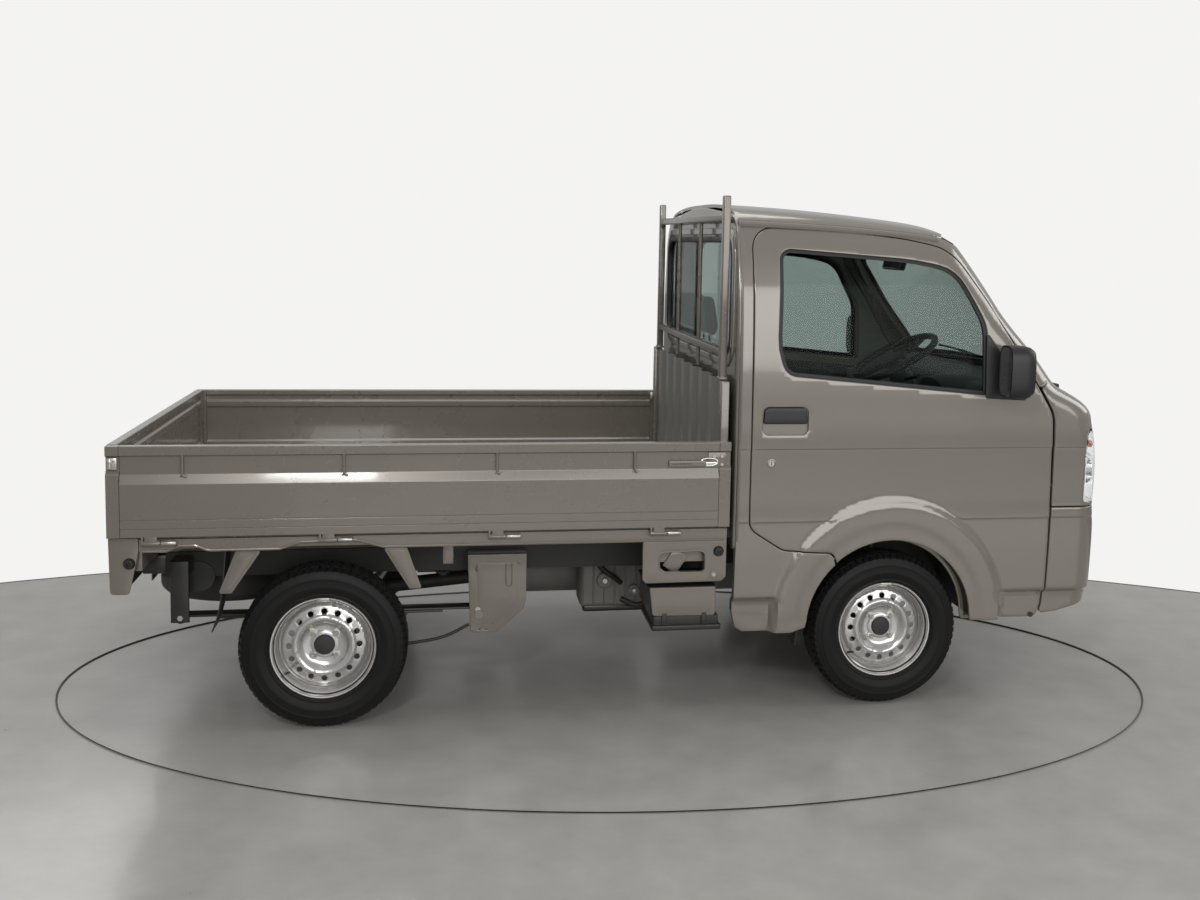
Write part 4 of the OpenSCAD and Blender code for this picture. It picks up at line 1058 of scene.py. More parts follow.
def roof_skin():
    outline = rounded([(CAB_BACK + 0.008, -ROOF_EDGE_Y, 0.02), (CAB_NOSE - 0.66, -ROOF_EDGE_Y, 0.05),
                       (CAB_NOSE - 0.575, -0.50, 0.2), (CAB_NOSE - 0.540, 0, 0.9),
                       (CAB_NOSE - 0.575, 0.50, 0.2), (CAB_NOSE - 0.66, ROOF_EDGE_Y, 0.05),
                       (CAB_BACK + 0.008, ROOF_EDGE_Y, 0.02)], 0.015)
    skin = panel("roof_skin", outline, [], from_above, 0.012, roll=0.0015, grid=0.022, material=PAINT)
    liner_outline = inset(outline, 0.03)
    liner = panel("head_liner", liner_outline, [], deeper(from_above, 0.040), 0.006,
                  roll=0.002, grid=0.06, material=GREY_PLASTIC)
    return [skin, liner]


def gutter(side):
    """The folded channel along one edge of the roof, as a bright lip over a round floor."""
    xs = np.linspace(CAB_BACK + 0.010, CAB_NOSE - 0.655, 40)
    top = from_above(np.stack([xs, np.full(40, side * (ROOF_EDGE_Y + 0.006))], 1), np.zeros(40))
    low = [tuple(p + np.array([0, side * 0.012, -0.010])) for p in top]
    lip = [tuple(p + np.array([0, side * 0.004, 0.002])) for p in top]
    return [tube("gutter_lip", lip, 0.0042, 8, PAINT, per_span=1),
            tube("gutter_floor", low, 0.011, 8, PAINT, per_span=1)]


def from_behind(points, depth):
    n = len(points)
    depth = np.asarray(depth)
    return np.stack([np.full(n, CAB_BACK + 0.001) + depth, points[:, 0], points[:, 1]], 1)


REAR_GLASS = rounded([(sy * (HALF_W - 0.128), z, 0.075) for sy, z in
                      ((-1, 1.216), (1, 1.216), (1, ROOF_TOP - 0.132), (-1, ROOF_TOP - 0.132))], 0.012)


def back_wall():
    corners = [(-0.722, 0.565, 0.02), (0.722, 0.565, 0.02), (0.722, 1.42, 0.9), (0.660, 1.640, 0.1),
               (0.600, ROOF_TOP - 0.045, 0.06), (0, ROOF_TOP - 0.006, 2.0), (-0.600, ROOF_TOP - 0.045, 0.06),
               (-0.660, 1.640, 0.1), (-0.722, 1.42, 0.9)]
    wall = panel("back_wall", rounded(corners, 0.015), [REAR_GLASS], from_behind, 0.028, roll=0.006,
                 grid=0.05, material=PAINT)
    field_outline = rounded([(sy * (HALF_W - 0.085), z, 0.10) for sy, z in
                             ((-1, 1.175), (1, 1.175), (1, ROOF_TOP - 0.090), (-1, ROOF_TOP - 0.090))], 0.012)
    frame_band = panel("window_pressing", field_outline, [inset(REAR_GLASS, -0.014)],
                       deeper(from_behind, -0.006), 0.008, roll=0.005, grid=0.2, material=PAINT)
    seal = panel("rear_seal", inset(REAR_GLASS, -0.010), [inset(REAR_GLASS, 0.012)],
                 deeper(from_behind, -0.006), 0.016, roll=0.004, grid=0.2, material=SEAL_RUBBER)
    ribs = [block("back_rib", (CAB_BACK - 0.004, y - 0.012, 0.70), (CAB_BACK + 0.004, y + 0.012, 1.12),
                  0.0035, 2, PAINT)
            for y in (-0.55, -0.33, -0.11, 0.11, 0.33, 0.55)]
    inner = panel("back_trim",
                  rounded([(-0.66, 0.63, 0.03), (0.66, 0.63, 0.03), (0.655, 1.40, 0.05), (0.60, 1.66, 0.05),
                                        (-0.60, 1.66, 0.05), (-0.655, 1.40, 0.05)], 0.02),
                                        [inset(REAR_GLASS, -0.02)],
                  deeper(from_behind, 0.030), 0.004, roll=0.0015, grid=0.2, material=GREY_PLASTIC)
    return [wall, frame_band, seal, inner] + ribs


roof = join("cab_roof", roof_skin() + gutter(-1) + gutter(1))
piece(roof, PAINT, "root", ["roof_panel"])
back = join("cab_back_wall", back_wall())
piece(back, PAINT, "root", ["cab_back"])
rear_pane = panel("rear_pane", REAR_GLASS, [], deeper(from_behind, 0.006), 0.004, roll=0.001,
                  grid=0.08, material=GLASS)
piece(rear_pane, GLASS, "root", ["rear_window"])

# %% [markdown]
# The windscreen is bonded in a black seal, inside a painted surround that is laid on square to it.

# %% Windscreen and its surround
def half_at(s):
    return float(HALF_BY_Z(SCREEN_FOOT[1] + SLOPE[1] * s))


SCREEN_HOLE = rounded([(-0.645, 0.018, 0.05), (0, 0.006, 3.0), (0.645, 0.018, 0.05), (0.575, 0.590, 0.05),
                       (0, 0.605, 3.0), (-0.575, 0.590, 0.05)], 0.012)


def screen_surround():
    levels = (0.004, 0.12, 0.24, 0.36, 0.48, 0.57)
    right_edge = [(half_at(s) - 0.0185, s, 0.0) for s in levels]
    corners = right_edge + [(half_at(0.6) - 0.034, 0.615, 0.03), (0.50, 0.634, 0.05), (0, 0.642, 2.0),
                            (-0.50, 0.634, 0.05), (-half_at(0.6) + 0.034, 0.615, 0.03)] + [(-y, s, r) for y,
                                                                                           s,
                                                                                           r in right_edge[::-1]]
    return panel("screen_surround", rounded(corners, 0.010), [SCREEN_HOLE], from_screen, 0.026, roll=0.0012,
                 grid=0.013, material=PAINT)


surround = screen_surround()
piece(surround, PAINT, "root", ["cab_frame"])
screen_seal = panel("screen_seal", inset(SCREEN_HOLE, -0.004), [inset(SCREEN_HOLE, 0.028)],
                    deeper(from_screen, 0.001), 0.007, roll=0.0015, grid=0.2, material=SEAL_RUBBER)
piece(screen_seal, SEAL_RUBBER, "root")
screen_pane = panel("screen_pane", inset(SCREEN_HOLE, 0.004), [], deeper(from_screen, 0.0025),
                    0.005, roll=0.001, grid=0.04, material=GLASS)
piece(screen_pane, GLASS, "root", ["windscreen"])

# %% [markdown]
# ## Nose and bumper
# Both run right round the front from one door to the other. They are laid out flat, as the way
# round the nose against height, and wrapped onto the body with rays that turn at the corners.
# The lamps and the air intake are holes in that flat layout.

# %% Nose outline, lamps and bumper
NOSE_REAR = DOOR_FRONT + 0.0035
LAMP_REAR_U = wrap_u(x=CAB_NOSE - 0.110)
LAMP_INNER_U = wrap_u(y=0.520)


def both_ends(points):
    """An outline given on the right side, closed over the middle with its mirror image."""
    return list(points) + [(WRAP_TOTAL - u, z, r) for u, z, r in points[::-1]]


LAMP_CORNERS = [(LAMP_REAR_U, 0.714, 0.012), (LAMP_REAR_U + 0.002, 0.958, 0.012),
                (LAMP_REAR_U + 0.030, 0.984, 0.02), (LAMP_INNER_U - 0.06, 0.955, 0.04),
                (LAMP_INNER_U, 0.900, 0.03), (LAMP_INNER_U - 0.01, 0.735, 0.03),
                (LAMP_INNER_U - 0.05, 0.714, 0.02)]
LAMP_OUTLINE = rounded(LAMP_CORNERS, 0.010)
LAMP_OUTLINE_LEFT = LAMP_OUTLINE * np.array([-1.0, 1.0]) + np.array([WRAP_TOTAL, 0.0])


def nose_skin():
    side = [(wrap_u(x=NOSE_REAR), 0.7025, 0.003), (wrap_u(x=NOSE_REAR), 0.90, 0.3),
            (wrap_u(x=NOSE_REAR - 0.003), 1.030, 0.12), (wrap_u(x=CAB_NOSE - 0.2795), 1.1195, 0.008),
            (wrap_u(x=CAB_NOSE - 0.252), 1.143, 0.01), (wrap_u(x=CAB_NOSE - 0.19), 1.135, 0.1),
            (wrap_u(y=0.35), 1.128, 1.0)]
    return panel("nose_skin", rounded(both_ends(side)[::-1], 0.012), [LAMP_OUTLINE, LAMP_OUTLINE_LEFT],
                 from_nose, 0.012, roll=0.003, grid=0.016, rows=WAIST_ROWS, material=PAINT)


INTAKE = rounded([(WRAP_TOTAL / 2 - 0.36, 0.395, 0.02), (WRAP_TOTAL / 2 + 0.36, 0.395, 0.02),
                  (WRAP_TOTAL / 2 + 0.40, 0.485, 0.03), (WRAP_TOTAL / 2 - 0.40, 0.485, 0.03)], 0.012)


def bumper_skin():
    side = [(wrap_u(x=NOSE_REAR), 0.6985, 0.003), (wrap_u(x=NOSE_REAR), 0.34, 0.05),
            (wrap_u(x=NOSE_REAR - 0.010), 0.302, 0.02), (wrap_u(x=NOSE_REAR + 0.07), 0.310, 0.2),
            (wrap_u(x=CAB_NOSE - 0.05), 0.340, 0.2), (wrap_u(y=0.40), 0.345, 0.3)]
    return panel("bumper_skin", rounded(both_ends(side), 0.012), [INTAKE], from_nose, 0.014, roll=0.003,
                 grid=0.016, rows=LOW_ROWS, material=PAINT)


def cowl():
    """Black panel between the nose and the windscreen."""
    outline = rounded([(-0.66, -0.050, 0.02), (0, -0.040, 3.0), (0.66, -0.050, 0.02), (0.655, 0.020, 0.03),
                       (0, 0.030, 3.0), (-0.655, 0.020, 0.03)], 0.012)
    return panel("cowl", outline, [], deeper(from_screen, 0.012), 0.010, roll=0.004, grid=0.03,
                 material=BLACK_PLASTIC)


def front_hooks():
    """The dark screw holes in the lower corner of each door gap."""
    return [lathe("sill_screw", disc_profile(0.009, 0.006, 0.002),
                  (NOSE_REAR - 0.040, side * (HALF_W - 0.036), 0.300), steps=24, material=SATIN_BLACK)
                  for side in (-1, 1)]


piece(nose_skin(), PAINT, "root", ["front_panel"])
piece(join("bumper", [bumper_skin()] + front_hooks()), PAINT, "root", ["front_bumper"])
piece(cowl(), BLACK_PLASTIC, "root")

# %% [markdown]
# Each headlamp is a clear lens over a bright bowl, with two dishes, a rib and coloured bulbs behind it.

# %% Headlamps
def lamp_unit(name, outline, way):
    lens = panel(name + "_lens", inset(outline, 0.0022), [], from_nose, 0.003, roll=0.0015, grid=0.02,
                 material=LENS)
    house = bowl(name + "_house", inset(outline, 0.0010), from_nose,
                 [(0, 0.004), (0.002, 0.012), (0.012, 0.055),
                                                                      (0.022, 0.062)], CHROME)
    side_u = LAMP_REAR_U + 0.030 if way < 0 else WRAP_TOTAL - LAMP_REAR_U - 0.030
    parts = [lens, house]
    for z, radius, material in ((0.925, 0.011, AMBER_LENS), (0.925, 0.006, RED_LENS)):
        for k in range(3):
            u = side_u - way * 0.013 * k
            at = from_nose(np.array([[u, z - 0.004 * k]]), np.full(1, 0.020))[0]
            parts.append(lathe(name + "_bulb", disc_profile(radius, 0.012, 0.004), tuple(at), axis="X",
                               steps=16, material=material))
    for u_off, radius in ((0.11, 0.052), (0.20, 0.045)):
        u = LAMP_REAR_U + u_off if way < 0 else WRAP_TOTAL - LAMP_REAR_U - u_off
        at = from_nose(np.array([[u, 0.815]]), np.full(1, 0.045))[0]
        dish = [(0.001, 0), (radius * 0.5, 0.006), (radius, 0.030), (radius * 1.04, 0.030),
                (radius * 0.55, 0.002), (0.001, -0.004)]
        parts.append(lathe(name + "_dish", dish, tuple(at), axis="X", steps=36, material=CHROME))
    divider = [(LAMP_REAR_U + 0.004, 0.882), (LAMP_INNER_U - 0.012, 0.872)]
    if way > 0:
        divider = [(WRAP_TOTAL - u, z) for u, z in divider]
    us = np.linspace(divider[0][0], divider[1][0], 14)
    zs = np.linspace(divider[0][1], divider[1][1], 14)
    rib = from_nose(np.stack([us, zs], 1), np.full(14, 0.014))
    parts.append(tube(name + "_rib", [tuple(p) for p in rib], 0.004, 8, CHROME, per_span=1))
    return join(name, parts)


piece(lamp_unit("headlamp_right", LAMP_OUTLINE, -1), LENS, "root", ["headlamps"])
piece(lamp_unit("headlamp_left", LAMP_OUTLINE_LEFT, 1), LENS, "root", ["headlamps"])

# %% [markdown]
# ## Repeating parts with Geometry Nodes
# Two small trees repeat copies of a mesh. One sets copies in a ring round the Y axis, for tread blocks and nuts;
# the other sets them in a row, for crossmembers, ribs and slats. Both realize their instances and set the
# material, and the result is turned into a plain mesh.

# %% Ring and row trees
def tree_input(tree, name, kind, value=None):
    socket = tree.interface.new_socket(name=name, in_out="INPUT", socket_type=kind)
    if value is not None:
        socket.default_value = value
    return socket.identifier


def repeat_tree(name, ring):
    tree = bpy.data.node_groups.new(name, "GeometryNodeTree")
    ids = {"Geometry": tree_input(tree, "Geometry", "NodeSocketGeometry")}
    ids["Count"] = tree_input(tree, "Count", "NodeSocketInt", 8)
    ids["Step"] = tree_input(tree, "Step", "NodeSocketVector")
    ids["Finish"] = tree_input(tree, "Finish", "NodeSocketMaterial")
    tree.interface.new_socket(name="Geometry", in_out="OUTPUT", socket_type="NodeSocketGeometry")
    given, result = tree.nodes.new("NodeGroupInput"), tree.nodes.new("NodeGroupOutput")
    line = tree.nodes.new("GeometryNodeMeshLine")
    copies = tree.nodes.new("GeometryNodeInstanceOnPoints")
    real = tree.nodes.new("GeometryNodeRealizeInstances")
    dress = tree.nodes.new("GeometryNodeSetMaterial")
    tree.links.new(given.outputs["Count"], line.inputs["Count"])
    if ring:
        line.inputs["Offset"].default_value = (0, 0, 0)
        index = tree.nodes.new("GeometryNodeInputIndex")
        turn = tree.nodes.new("ShaderNodeMath")
        turn.operation = "DIVIDE"
        turn.inputs[0].default_value = 2 * math.pi
        tree.links.new(given.outputs["Count"], turn.inputs[1])
        angle = tree.nodes.new("ShaderNodeMath")
        angle.operation = "MULTIPLY"
        tree.links.new(index.outputs[0], angle.inputs[0])
        tree.links.new(turn.outputs[0], angle.inputs[1])
        spin = tree.nodes.new("ShaderNodeCombineXYZ")
        tree.links.new(angle.outputs[0], spin.inputs[1])
        tree.links.new(spin.outputs[0], copies.inputs["Rotation"])
    else:
        tree.links.new(given.outputs["Step"], line.inputs["Offset"])
    tree.links.new(line.outputs[0], copies.inputs["Points"])
    tree.links.new(given.outputs["Geometry"], copies.inputs["Instance"])
    tree.links.new(copies.outputs[0], real.inputs[0])
    tree.links.new(real.outputs[0], dress.inputs["Geometry"])
    tree.links.new(given.outputs["Finish"], dress.inputs["Material"])
    tree.links.new(dress.outputs[0], result.inputs[0])
    return tree, ids


RING_TREE, RING_IDS = repeat_tree("ring_of_copies", True)
ROW_TREE, ROW_IDS = repeat_tree("row_of_copies", False)


def repeated(obj, name, count, material, step=None):
    """Copies of obj in a ring round the Y axis, or in a row with the given step, as one plain mesh."""
    tree, ids = (RING_TREE, RING_IDS) if step is None else (ROW_TREE, ROW_IDS)
    modifier = obj.modifiers.new("copies", "NODES")
    modifier.node_group = tree
    modifier[ids["Count"]] = count
    if step is not None:
        modifier[ids["Step"]] = tuple(step)
    modifier[ids["Finish"]] = material
    evaluated = obj.evaluated_get(bpy.context.evaluated_depsgraph_get())
    mesh = bpy.data.meshes.new_from_object(evaluated)
    mesh.name = name
    made = placed(name, mesh)
    obj.modifiers.clear()
    bpy.data.objects.remove(obj)
    return made


# %% [markdown]
# ## Wheels
# A steel wheel is a rolled rim and a pressed disc. The rim is turned from its profile. The disc is a
# panel bent to its pressed shape, so its sixteen holes have rolled edges like the real ones.

# %% Steel wheel
DISC_SHAPE = curve([(0.0, 0.010), (0.040, 0.010), (0.048, 0.012), (0.060, 0.0125), (0.072, 0.018),
                    (0.080, 0.028), (0.090, 0.0345), (0.098, 0.033), (0.103, 0.026), (0.122, 0.022),
                    (0.131, 0.020), (0.139, 0.004), (0.150, 0.002)], spread=0.0035, step=0.0005)


def circle(radius, steps, centre=(0.0, 0.0)):
    a = around(steps)
    return np.stack([centre[0] + radius * np.cos(a), centre[1] + radius * np.sin(a)], 1)


def on_disc(points, depth):
    r = np.hypot(points[:, 0], points[:, 1])
    return np.stack([points[:, 0], DISC_SHAPE(r) - np.asarray(depth), points[:, 1]], 1)


def wheel_parts():
    """One wheel about the origin with its outer side towards +Y."""
    holes = [circle(0.0092, 20, (0.112 * math.cos(a), 0.112 * math.sin(a)))
             for a in around(16)]
    disc = panel("disc", circle(0.1465, 120), holes + [circle(0.030, 48)], on_disc, 0.0035, roll=0.0016,
                 grid=0.0052, material=RIM_SILVER)
    well = [(0.168, 0.057), (0.1665, 0.0595), (0.163, 0.059), (0.160, 0.054), (0.1585, 0.046), (0.152, 0.040),
            (0.150, 0.030), (0.1475, 0.022), (0.1470, -0.030), (0.152, -0.045), (0.1585, -0.050),
            (0.163, -0.059), (0.1665, -0.0595), (0.168, -0.057), (0.1655, -0.052), (0.1625, -0.050),
            (0.1560, -0.044), (0.1505, -0.028), (0.1505, 0.020), (0.1535, 0.030), (0.1555, 0.038),
            (0.1625, 0.045), (0.1640, 0.053)]
    rim = lathe("rim", well, (0, 0, 0), steps=96, material=RIM_SILVER)
    boss = lathe("boss", [(0.030, 0.006), (0.0455, 0.011), (0.0440, 0.0175), (0.038, 0.0195), (0.034, 0.0195),
                          (0.033, 0.004)], (0, 0, 0), steps=48, material=RIM_SILVER)
    cap = lathe("cap", [(ON_AXIS, 0.004), (0.0335, 0.004), (0.0335, 0.022), (0.030, 0.0265), (0.012, 0.0285),
                        (ON_AXIS, 0.0287)], (0, 0, 0), steps=48, material=BLACK_PLASTIC)
    seat = lathe("nut_seat", [(0.0001, 0.010), (0.0155, 0.010), (0.0145, 0.0145), (0.0001, 0.015)],
                 (0.050, 0, 0), steps=24, material=RIM_SILVER)
    nut = lathe("nut", [(0.0001, 0.013), (0.0105, 0.013), (0.0105, 0.022), (0.0085, 0.0255), (0.0058, 0.0255),
                        (0.0052, 0.020), (0.0001, 0.020)], (0.050, 0, 0), steps=6, material=ZINC)
    stud = lathe("stud",
                 [(0.0001, 0.018), (0.0045, 0.018), (0.0045, 0.0275), (0.0036, 0.0285), (0.0001, 0.0285)],
                 (0.050, 0, 0), steps=14, material=ZINC)
    quarter = Matrix.Rotation(math.pi / 4, 4, "Y")
    for part in (seat, nut, stud):
        part.data.transform(quarter)
    ring = [repeated(part, part.name + "s", 4, material)
            for part, material in ((seat, RIM_SILVER), (nut, ZINC), (stud, ZINC))]
    weight = block("balance_weight", (-0.020, 0.056, 0.1575), (0.020, 0.0615, 0.1665), 0.002, 2, ZINC)
    valve = tube("valve", [(0.118, 0.020, -0.090), (0.112, 0.040, -0.084), (0.108, 0.050, -0.080)], 0.0035, 8,
                 SEAL_RUBBER)
    drum = lathe("drum",
                 [(0.0001, -0.004), (0.098, -0.004), (0.104, -0.010), (0.104, -0.045), (0.0001, -0.045)],
                 (0, 0, 0), steps=64, material=SATIN_BLACK)
    return [disc, rim, boss, cap, weight, valve, drum] + ring


# %% [markdown]
# The tyre's casing is turned from its profile, with rings on the sidewall. The tread blocks are set
# round it in five rows: slanted lugs on the shoulders and zigzag ribs between the grooves.

# %% Tyre with tread
def tread_block(name, x_length, y0, y1, slant, height, shoulder=0.0):
    """A block on top of the casing at +Z, about the Y axis."""
    top = TYRE_R - 0.0003
    base = TYRE_R - height
    work = bmesh.new()
    low = [(-x_length / 2, y0), (x_length / 2, y0), (x_length / 2, y1), (-x_length / 2, y1)]

    def lift(x, y, z):
        lean = slant * (y - (y0 + y1) / 2)
        drop = shoulder * max(0.0, (abs(y) - 0.045) / 0.022) ** 2
        return (x + lean, y, math.sqrt(max(0, (z - drop) ** 2 - (x + lean) ** 2)))
    bottom = [work.verts.new(lift(x, y, base)) for x, y in low]
    ring = [work.verts.new(lift(x, y, top - 0.0014)) for x, y in low]
    crown = [work.verts.new(lift(x * 0.86, y0 + (y1 - y0) * (0.06 if y == y0 else 0.94), top)) for x,
             y in low]
    for i in range(4):
        j = (i + 1) % 4
        work.faces.new((bottom[i], bottom[j], ring[j], ring[i]))
        work.faces.new((ring[i], ring[j], crown[j], crown[i]))
    work.faces.new(crown)
    work.faces.new(bottom[::-1])
    return outward(from_bmesh(name, work))


def tyre_parts():
    half = 0.0725
    r = TYRE_R
    side = [(0.1595, 0.050), (0.1680, 0.0565), (0.1700, 0.0600), (0.1760, 0.0655), (0.1775, 0.0672),
            (0.1800, 0.0672), (0.1815, 0.0665), (0.1980, 0.0710), (0.2050, half), (0.2065, half),
            (0.2085, 0.0722), (0.2260, 0.0716), (0.2275, 0.0728), (0.2300, 0.0726), (0.2315, 0.0706),
            (0.2440, 0.0680), (0.2540, 0.0625), (r - 0.0085, 0.0520), (r - 0.0075, 0.0350)]
    profile = side + [(r - 0.0075, -0.035)] + [(a, -b) for a, b in side[::-1]] + [(0.156, -0.045),
                                                                                  (0.156, 0.045)]
    casing = lathe("casing", profile, (0, 0, 0), steps=128, material=TYRE_RUBBER)
    rows = []
    for name, count, length, y0, y1, slant, shoulder in (
            ("lug_a", 66, 0.0185, 0.0405, 0.0660, 0.22, 0.016),
            ("lug_b", 66, 0.0185, -0.0660, -0.0405, 0.22, 0.016),
            ("rib_a", 50, 0.0285, 0.0150, 0.0355, -0.55, 0),
            ("rib_b", 50, 0.0285, -0.0355, -0.0150, -0.55, 0),
            ("rib_c", 44, 0.0350, -0.0100, 0.0100, 0.6, 0)):
        rows.append(repeated(tread_block(name, length, y0, y1, slant, 0.012, shoulder), name + "_row", count,
                             TYRE_RUBBER))
    return [casing] + rows


wheel_model = join("wheel_model", wheel_parts())
tyre_model = join("tyre_model", tyre_parts())
for name in WHEEL_NAMES:
    hub = HUBS[name]
    outside = 1 if hub.y > 0 else -1
    turn = Matrix.Rotation(0 if outside > 0 else math.pi, 4, "Z")
    for model, kind, material, slot_name in ((wheel_model, "wheel", RIM_SILVER, "rim_silver"),
                                             (tyre_model, "tyre", TYRE_RUBBER, "tyre")):
        copy = placed("road_%s_%s" % (kind, name), model.data.copy())
        copy.data.transform(Matrix.Translation(hub) @ turn)
        piece(copy, material, "wheel_" + name, ["%s_%s" % (kind, name)], angle=math.radians(32))
for model in (wheel_model, tyre_model):
    bpy.data.objects.remove(model)
print("wheels done")

# %% [markdown]
# ## Load bed
# The three gates are one rolled profile: a top rail, a sunk band for the rope hooks, a sloped ledge,
# a flat panel and two creases low down. The side gates turn about pins on the side rails, so the
# painted barrel rides on the gate and the bright barrel stays on the rail.

# %% Gate profile
SILL_Y = HALF_W - 0.023
AXIS_Z = DECK - 0.018
SIDE_AXIS_Y = HALF_W - 0.009
TAIL_AXIS_X = BED_REAR - 0.008
GATE_SECTION = rounded([
    (0.0000, 0.6515, 0.003), (0.0000, 0.6765, 0.0008), (0.0020, 0.6775, 0.0008), (0.0000, 0.6800, 0.0008),
    (0.0000, 0.7035, 0.0008), (0.0025, 0.7050, 0.0010), (0.0010, 0.7080, 0.0010), (0.0008, 0.8190, 0.0040),
    (0.0118, 0.8500, 0.0040), (0.0122, 0.9070, 0.0020), (0.0003, 0.9105, 0.0015), (0.0000, 0.9400, 0.0030),
    (0.0300, 0.9400, 0.0030), (0.0300, 0.9210, 0.0020), (0.0225, 0.9150, 0.0030), (0.0225, 0.8990, 0.0030),
    (0.0295, 0.8920, 0.0030), (0.0295, 0.8720, 0.0030), (0.0225, 0.8640, 0.0030), (0.0225, 0.7270, 0.0030),
    (0.0295, 0.7200, 0.0030), (0.0300, 0.6515, 0.0020)], 0.0015)
END_SECTION = rounded([
    (0.0000, 0.6510, 0.002), (0.0000, 0.8500, 0.004), (0.0110, 0.8640, 0.003), (0.0110, 0.9050, 0.002),
    (0.0000, 0.9100, 0.002), (0.0000, 0.9400, 0.003), (0.0300, 0.9400, 0.003), (0.0300, 0.6510, 0.002)],
    0.0015)


def extruded(name, section, low, high, place, material):
    """A closed profile of (a, b) points carried from low to high along the third direction."""
    count = len(section)
    verts = [place(a, b, c) for c in (low, high) for a, b in section]
    faces = [(i, (i + 1) % count, count + (i + 1) % count, count + i) for i in range(count)]
    faces += [tuple(range(count))[::-1], tuple(range(count, 2 * count))]
    return painted(outward(mesh_object(name, verts, faces)), material)


def beside(a, b, c):
    return (c, -HALF_W + a, b)


def behind(a, b, c):
    return (BED_REAR + a, c, b)


def gate_body(name, low, high, place):
    parts = [extruded(name + "_panel", GATE_SECTION, low + 0.040, high - 0.040, place, BED_PAINT)]
    for a, b in ((low, low + 0.0386), (high - 0.0386, high)):
        parts.append(extruded(name + "_end", END_SECTION, a, b, place, BED_PAINT))
    return parts


def rope_hook(x):
    y = -HALF_W + 0.0050
    rod = tube("hook", [(x, y, 0.911), (x, y, 0.880), (x, y, 0.856), (x + 0.002, y + 0.0008, 0.847),
                        (x + 0.010, y + 0.0010, 0.841)], 0.0045, 12, BED_PAINT)
    foot = block("hook_foot", (x - 0.008, y + 0.003, 0.838), (x + 0.014, y + 0.006, 0.846), 0.0015, 2,
                 BED_PAINT)
    return [rod, foot]


def lever_latch(x):
    """Over-centre lever with its bright ring, lying in the sunk band."""
    y = -HALF_W
    parts = [block("lever", (x, y + 0.0015, 0.8560), (x + 0.128, y + 0.0105, 0.8790), 0.0042, 4, BED_PAINT),
             block("lever_slot", (x + 0.012, y + 0.0008, 0.8665), (x + 0.078, y + 0.0030, 0.8690), 0.0008, 1,
                   SATIN_BLACK),
             block("lever_neck", (x + 0.120, y + 0.0030, 0.8600), (x + 0.165, y + 0.0110, 0.8740), 0.003, 3,
                   CHROME),
             block("latch_plate", (x + 0.135, y + 0.0070, 0.8520), (x + 0.196, y + 0.0120, 0.9050), 0.002, 2,
                   BED_PAINT)]
    ring = [(x + 0.138 + 0.030 * math.cos(a), y + 0.0055, 0.873 + 0.013 * math.sin(a))
            for a in np.linspace(0, 2 * math.pi, 25)]
    parts.append(tube("latch_ring", ring, 0.0030, 10, CHROME, per_span=1))
    for dx, dz in ((0.182, 0.864), (0.182, 0.892), (0.156, 0.892)):
        parts.append(lathe("latch_bolt", disc_profile(0.0062, 0.004, 0.0012), (x + dx, y + 0.0070, dz),
                           axis="-Y", steps=6, material=ZINC))
    return parts


def corner_latch(x):
    y = -HALF_W
    return [block("latch_cover", (x, y + 0.0010, 0.8665), (x + 0.0310, y + 0.0105, 0.9035), 0.002, 2, ZINC),
            block("latch_step", (x + 0.003, y + 0.0002, 0.8700), (x + 0.013, y + 0.0020, 0.9000), 0.0012, 2,
                  CHROME),
            lathe("latch_rivet", disc_profile(0.004, 0.0015, 0.0006), (x + 0.022, y + 0.0012, 0.893),
                  axis="-Y", steps=16, material=ZINC)]


HINGE_X = [BED_REAR + 0.158 + i * (BED_FRONT - BED_REAR - 0.270) / 3.2 for i in range(4)]


def moving_barrel(x):
    return [lathe("barrel",
                  [(ON_AXIS, 0), (0.0085, 0), (0.0090, 0.0008), (0.0090, 0.0552), (0.0085, 0.056),
                   (ON_AXIS, 0.056)], (x - 0.0545, -SIDE_AXIS_Y, AXIS_Z), axis="X", steps=28,
                   material=BED_PAINT),
            block("barrel_leaf", (x - 0.044, -HALF_W + 0.0005, AXIS_Z),
                  (x - 0.006, -HALF_W + 0.0075, AXIS_Z + 0.026), 0.002, 2, BED_PAINT),
            block("leaf_end", (x - 0.0545, -HALF_W + 0.0020, AXIS_Z + 0.004),
                  (x - 0.0480, -HALF_W + 0.0120, AXIS_Z + 0.020), 0.0015, 2, BED_PAINT)]


def fixed_barrel(x):
    return [lathe("pin_barrel",
                  [(ON_AXIS, 0), (0.0072, 0), (0.0078, 0.0008), (0.0078, 0.0442), (0.0072, 0.045),
                                 (ON_AXIS, 0.045)], (x + 0.0040, -SIDE_AXIS_Y, AXIS_Z), axis="X", steps=28,
                                 material=ZINC),
            block("barrel_foot", (x + 0.012, -SIDE_AXIS_Y, AXIS_Z - 0.0085),
                  (x + 0.044, -SILL_Y + 0.002, AXIS_Z - 0.0010), 0.001, 1, BED_PAINT)]


HOOK_X = (BED_REAR + 0.229, BED_REAR + 0.717, BED_REAR + 1.200, BED_REAR + 1.653)
gate_parts = gate_body("side_gate", BED_REAR + 0.004, BED_FRONT - 0.004, beside)
for x in HOOK_X:
    gate_parts += rope_hook(x)
for x in HINGE_X:
    gate_parts += moving_barrel(x)
gate_parts += lever_latch(BED_FRONT - 0.216) + corner_latch(BED_REAR + 0.007)
gate_right = join("side_gate_right", gate_parts)
gate_left = mirrored(gate_right, "side_gate_left")
piece(gate_right, BED_PAINT, "gate_right", ["gate_right"])
piece(gate_left, BED_PAINT, "gate_left", ["gate_left"])

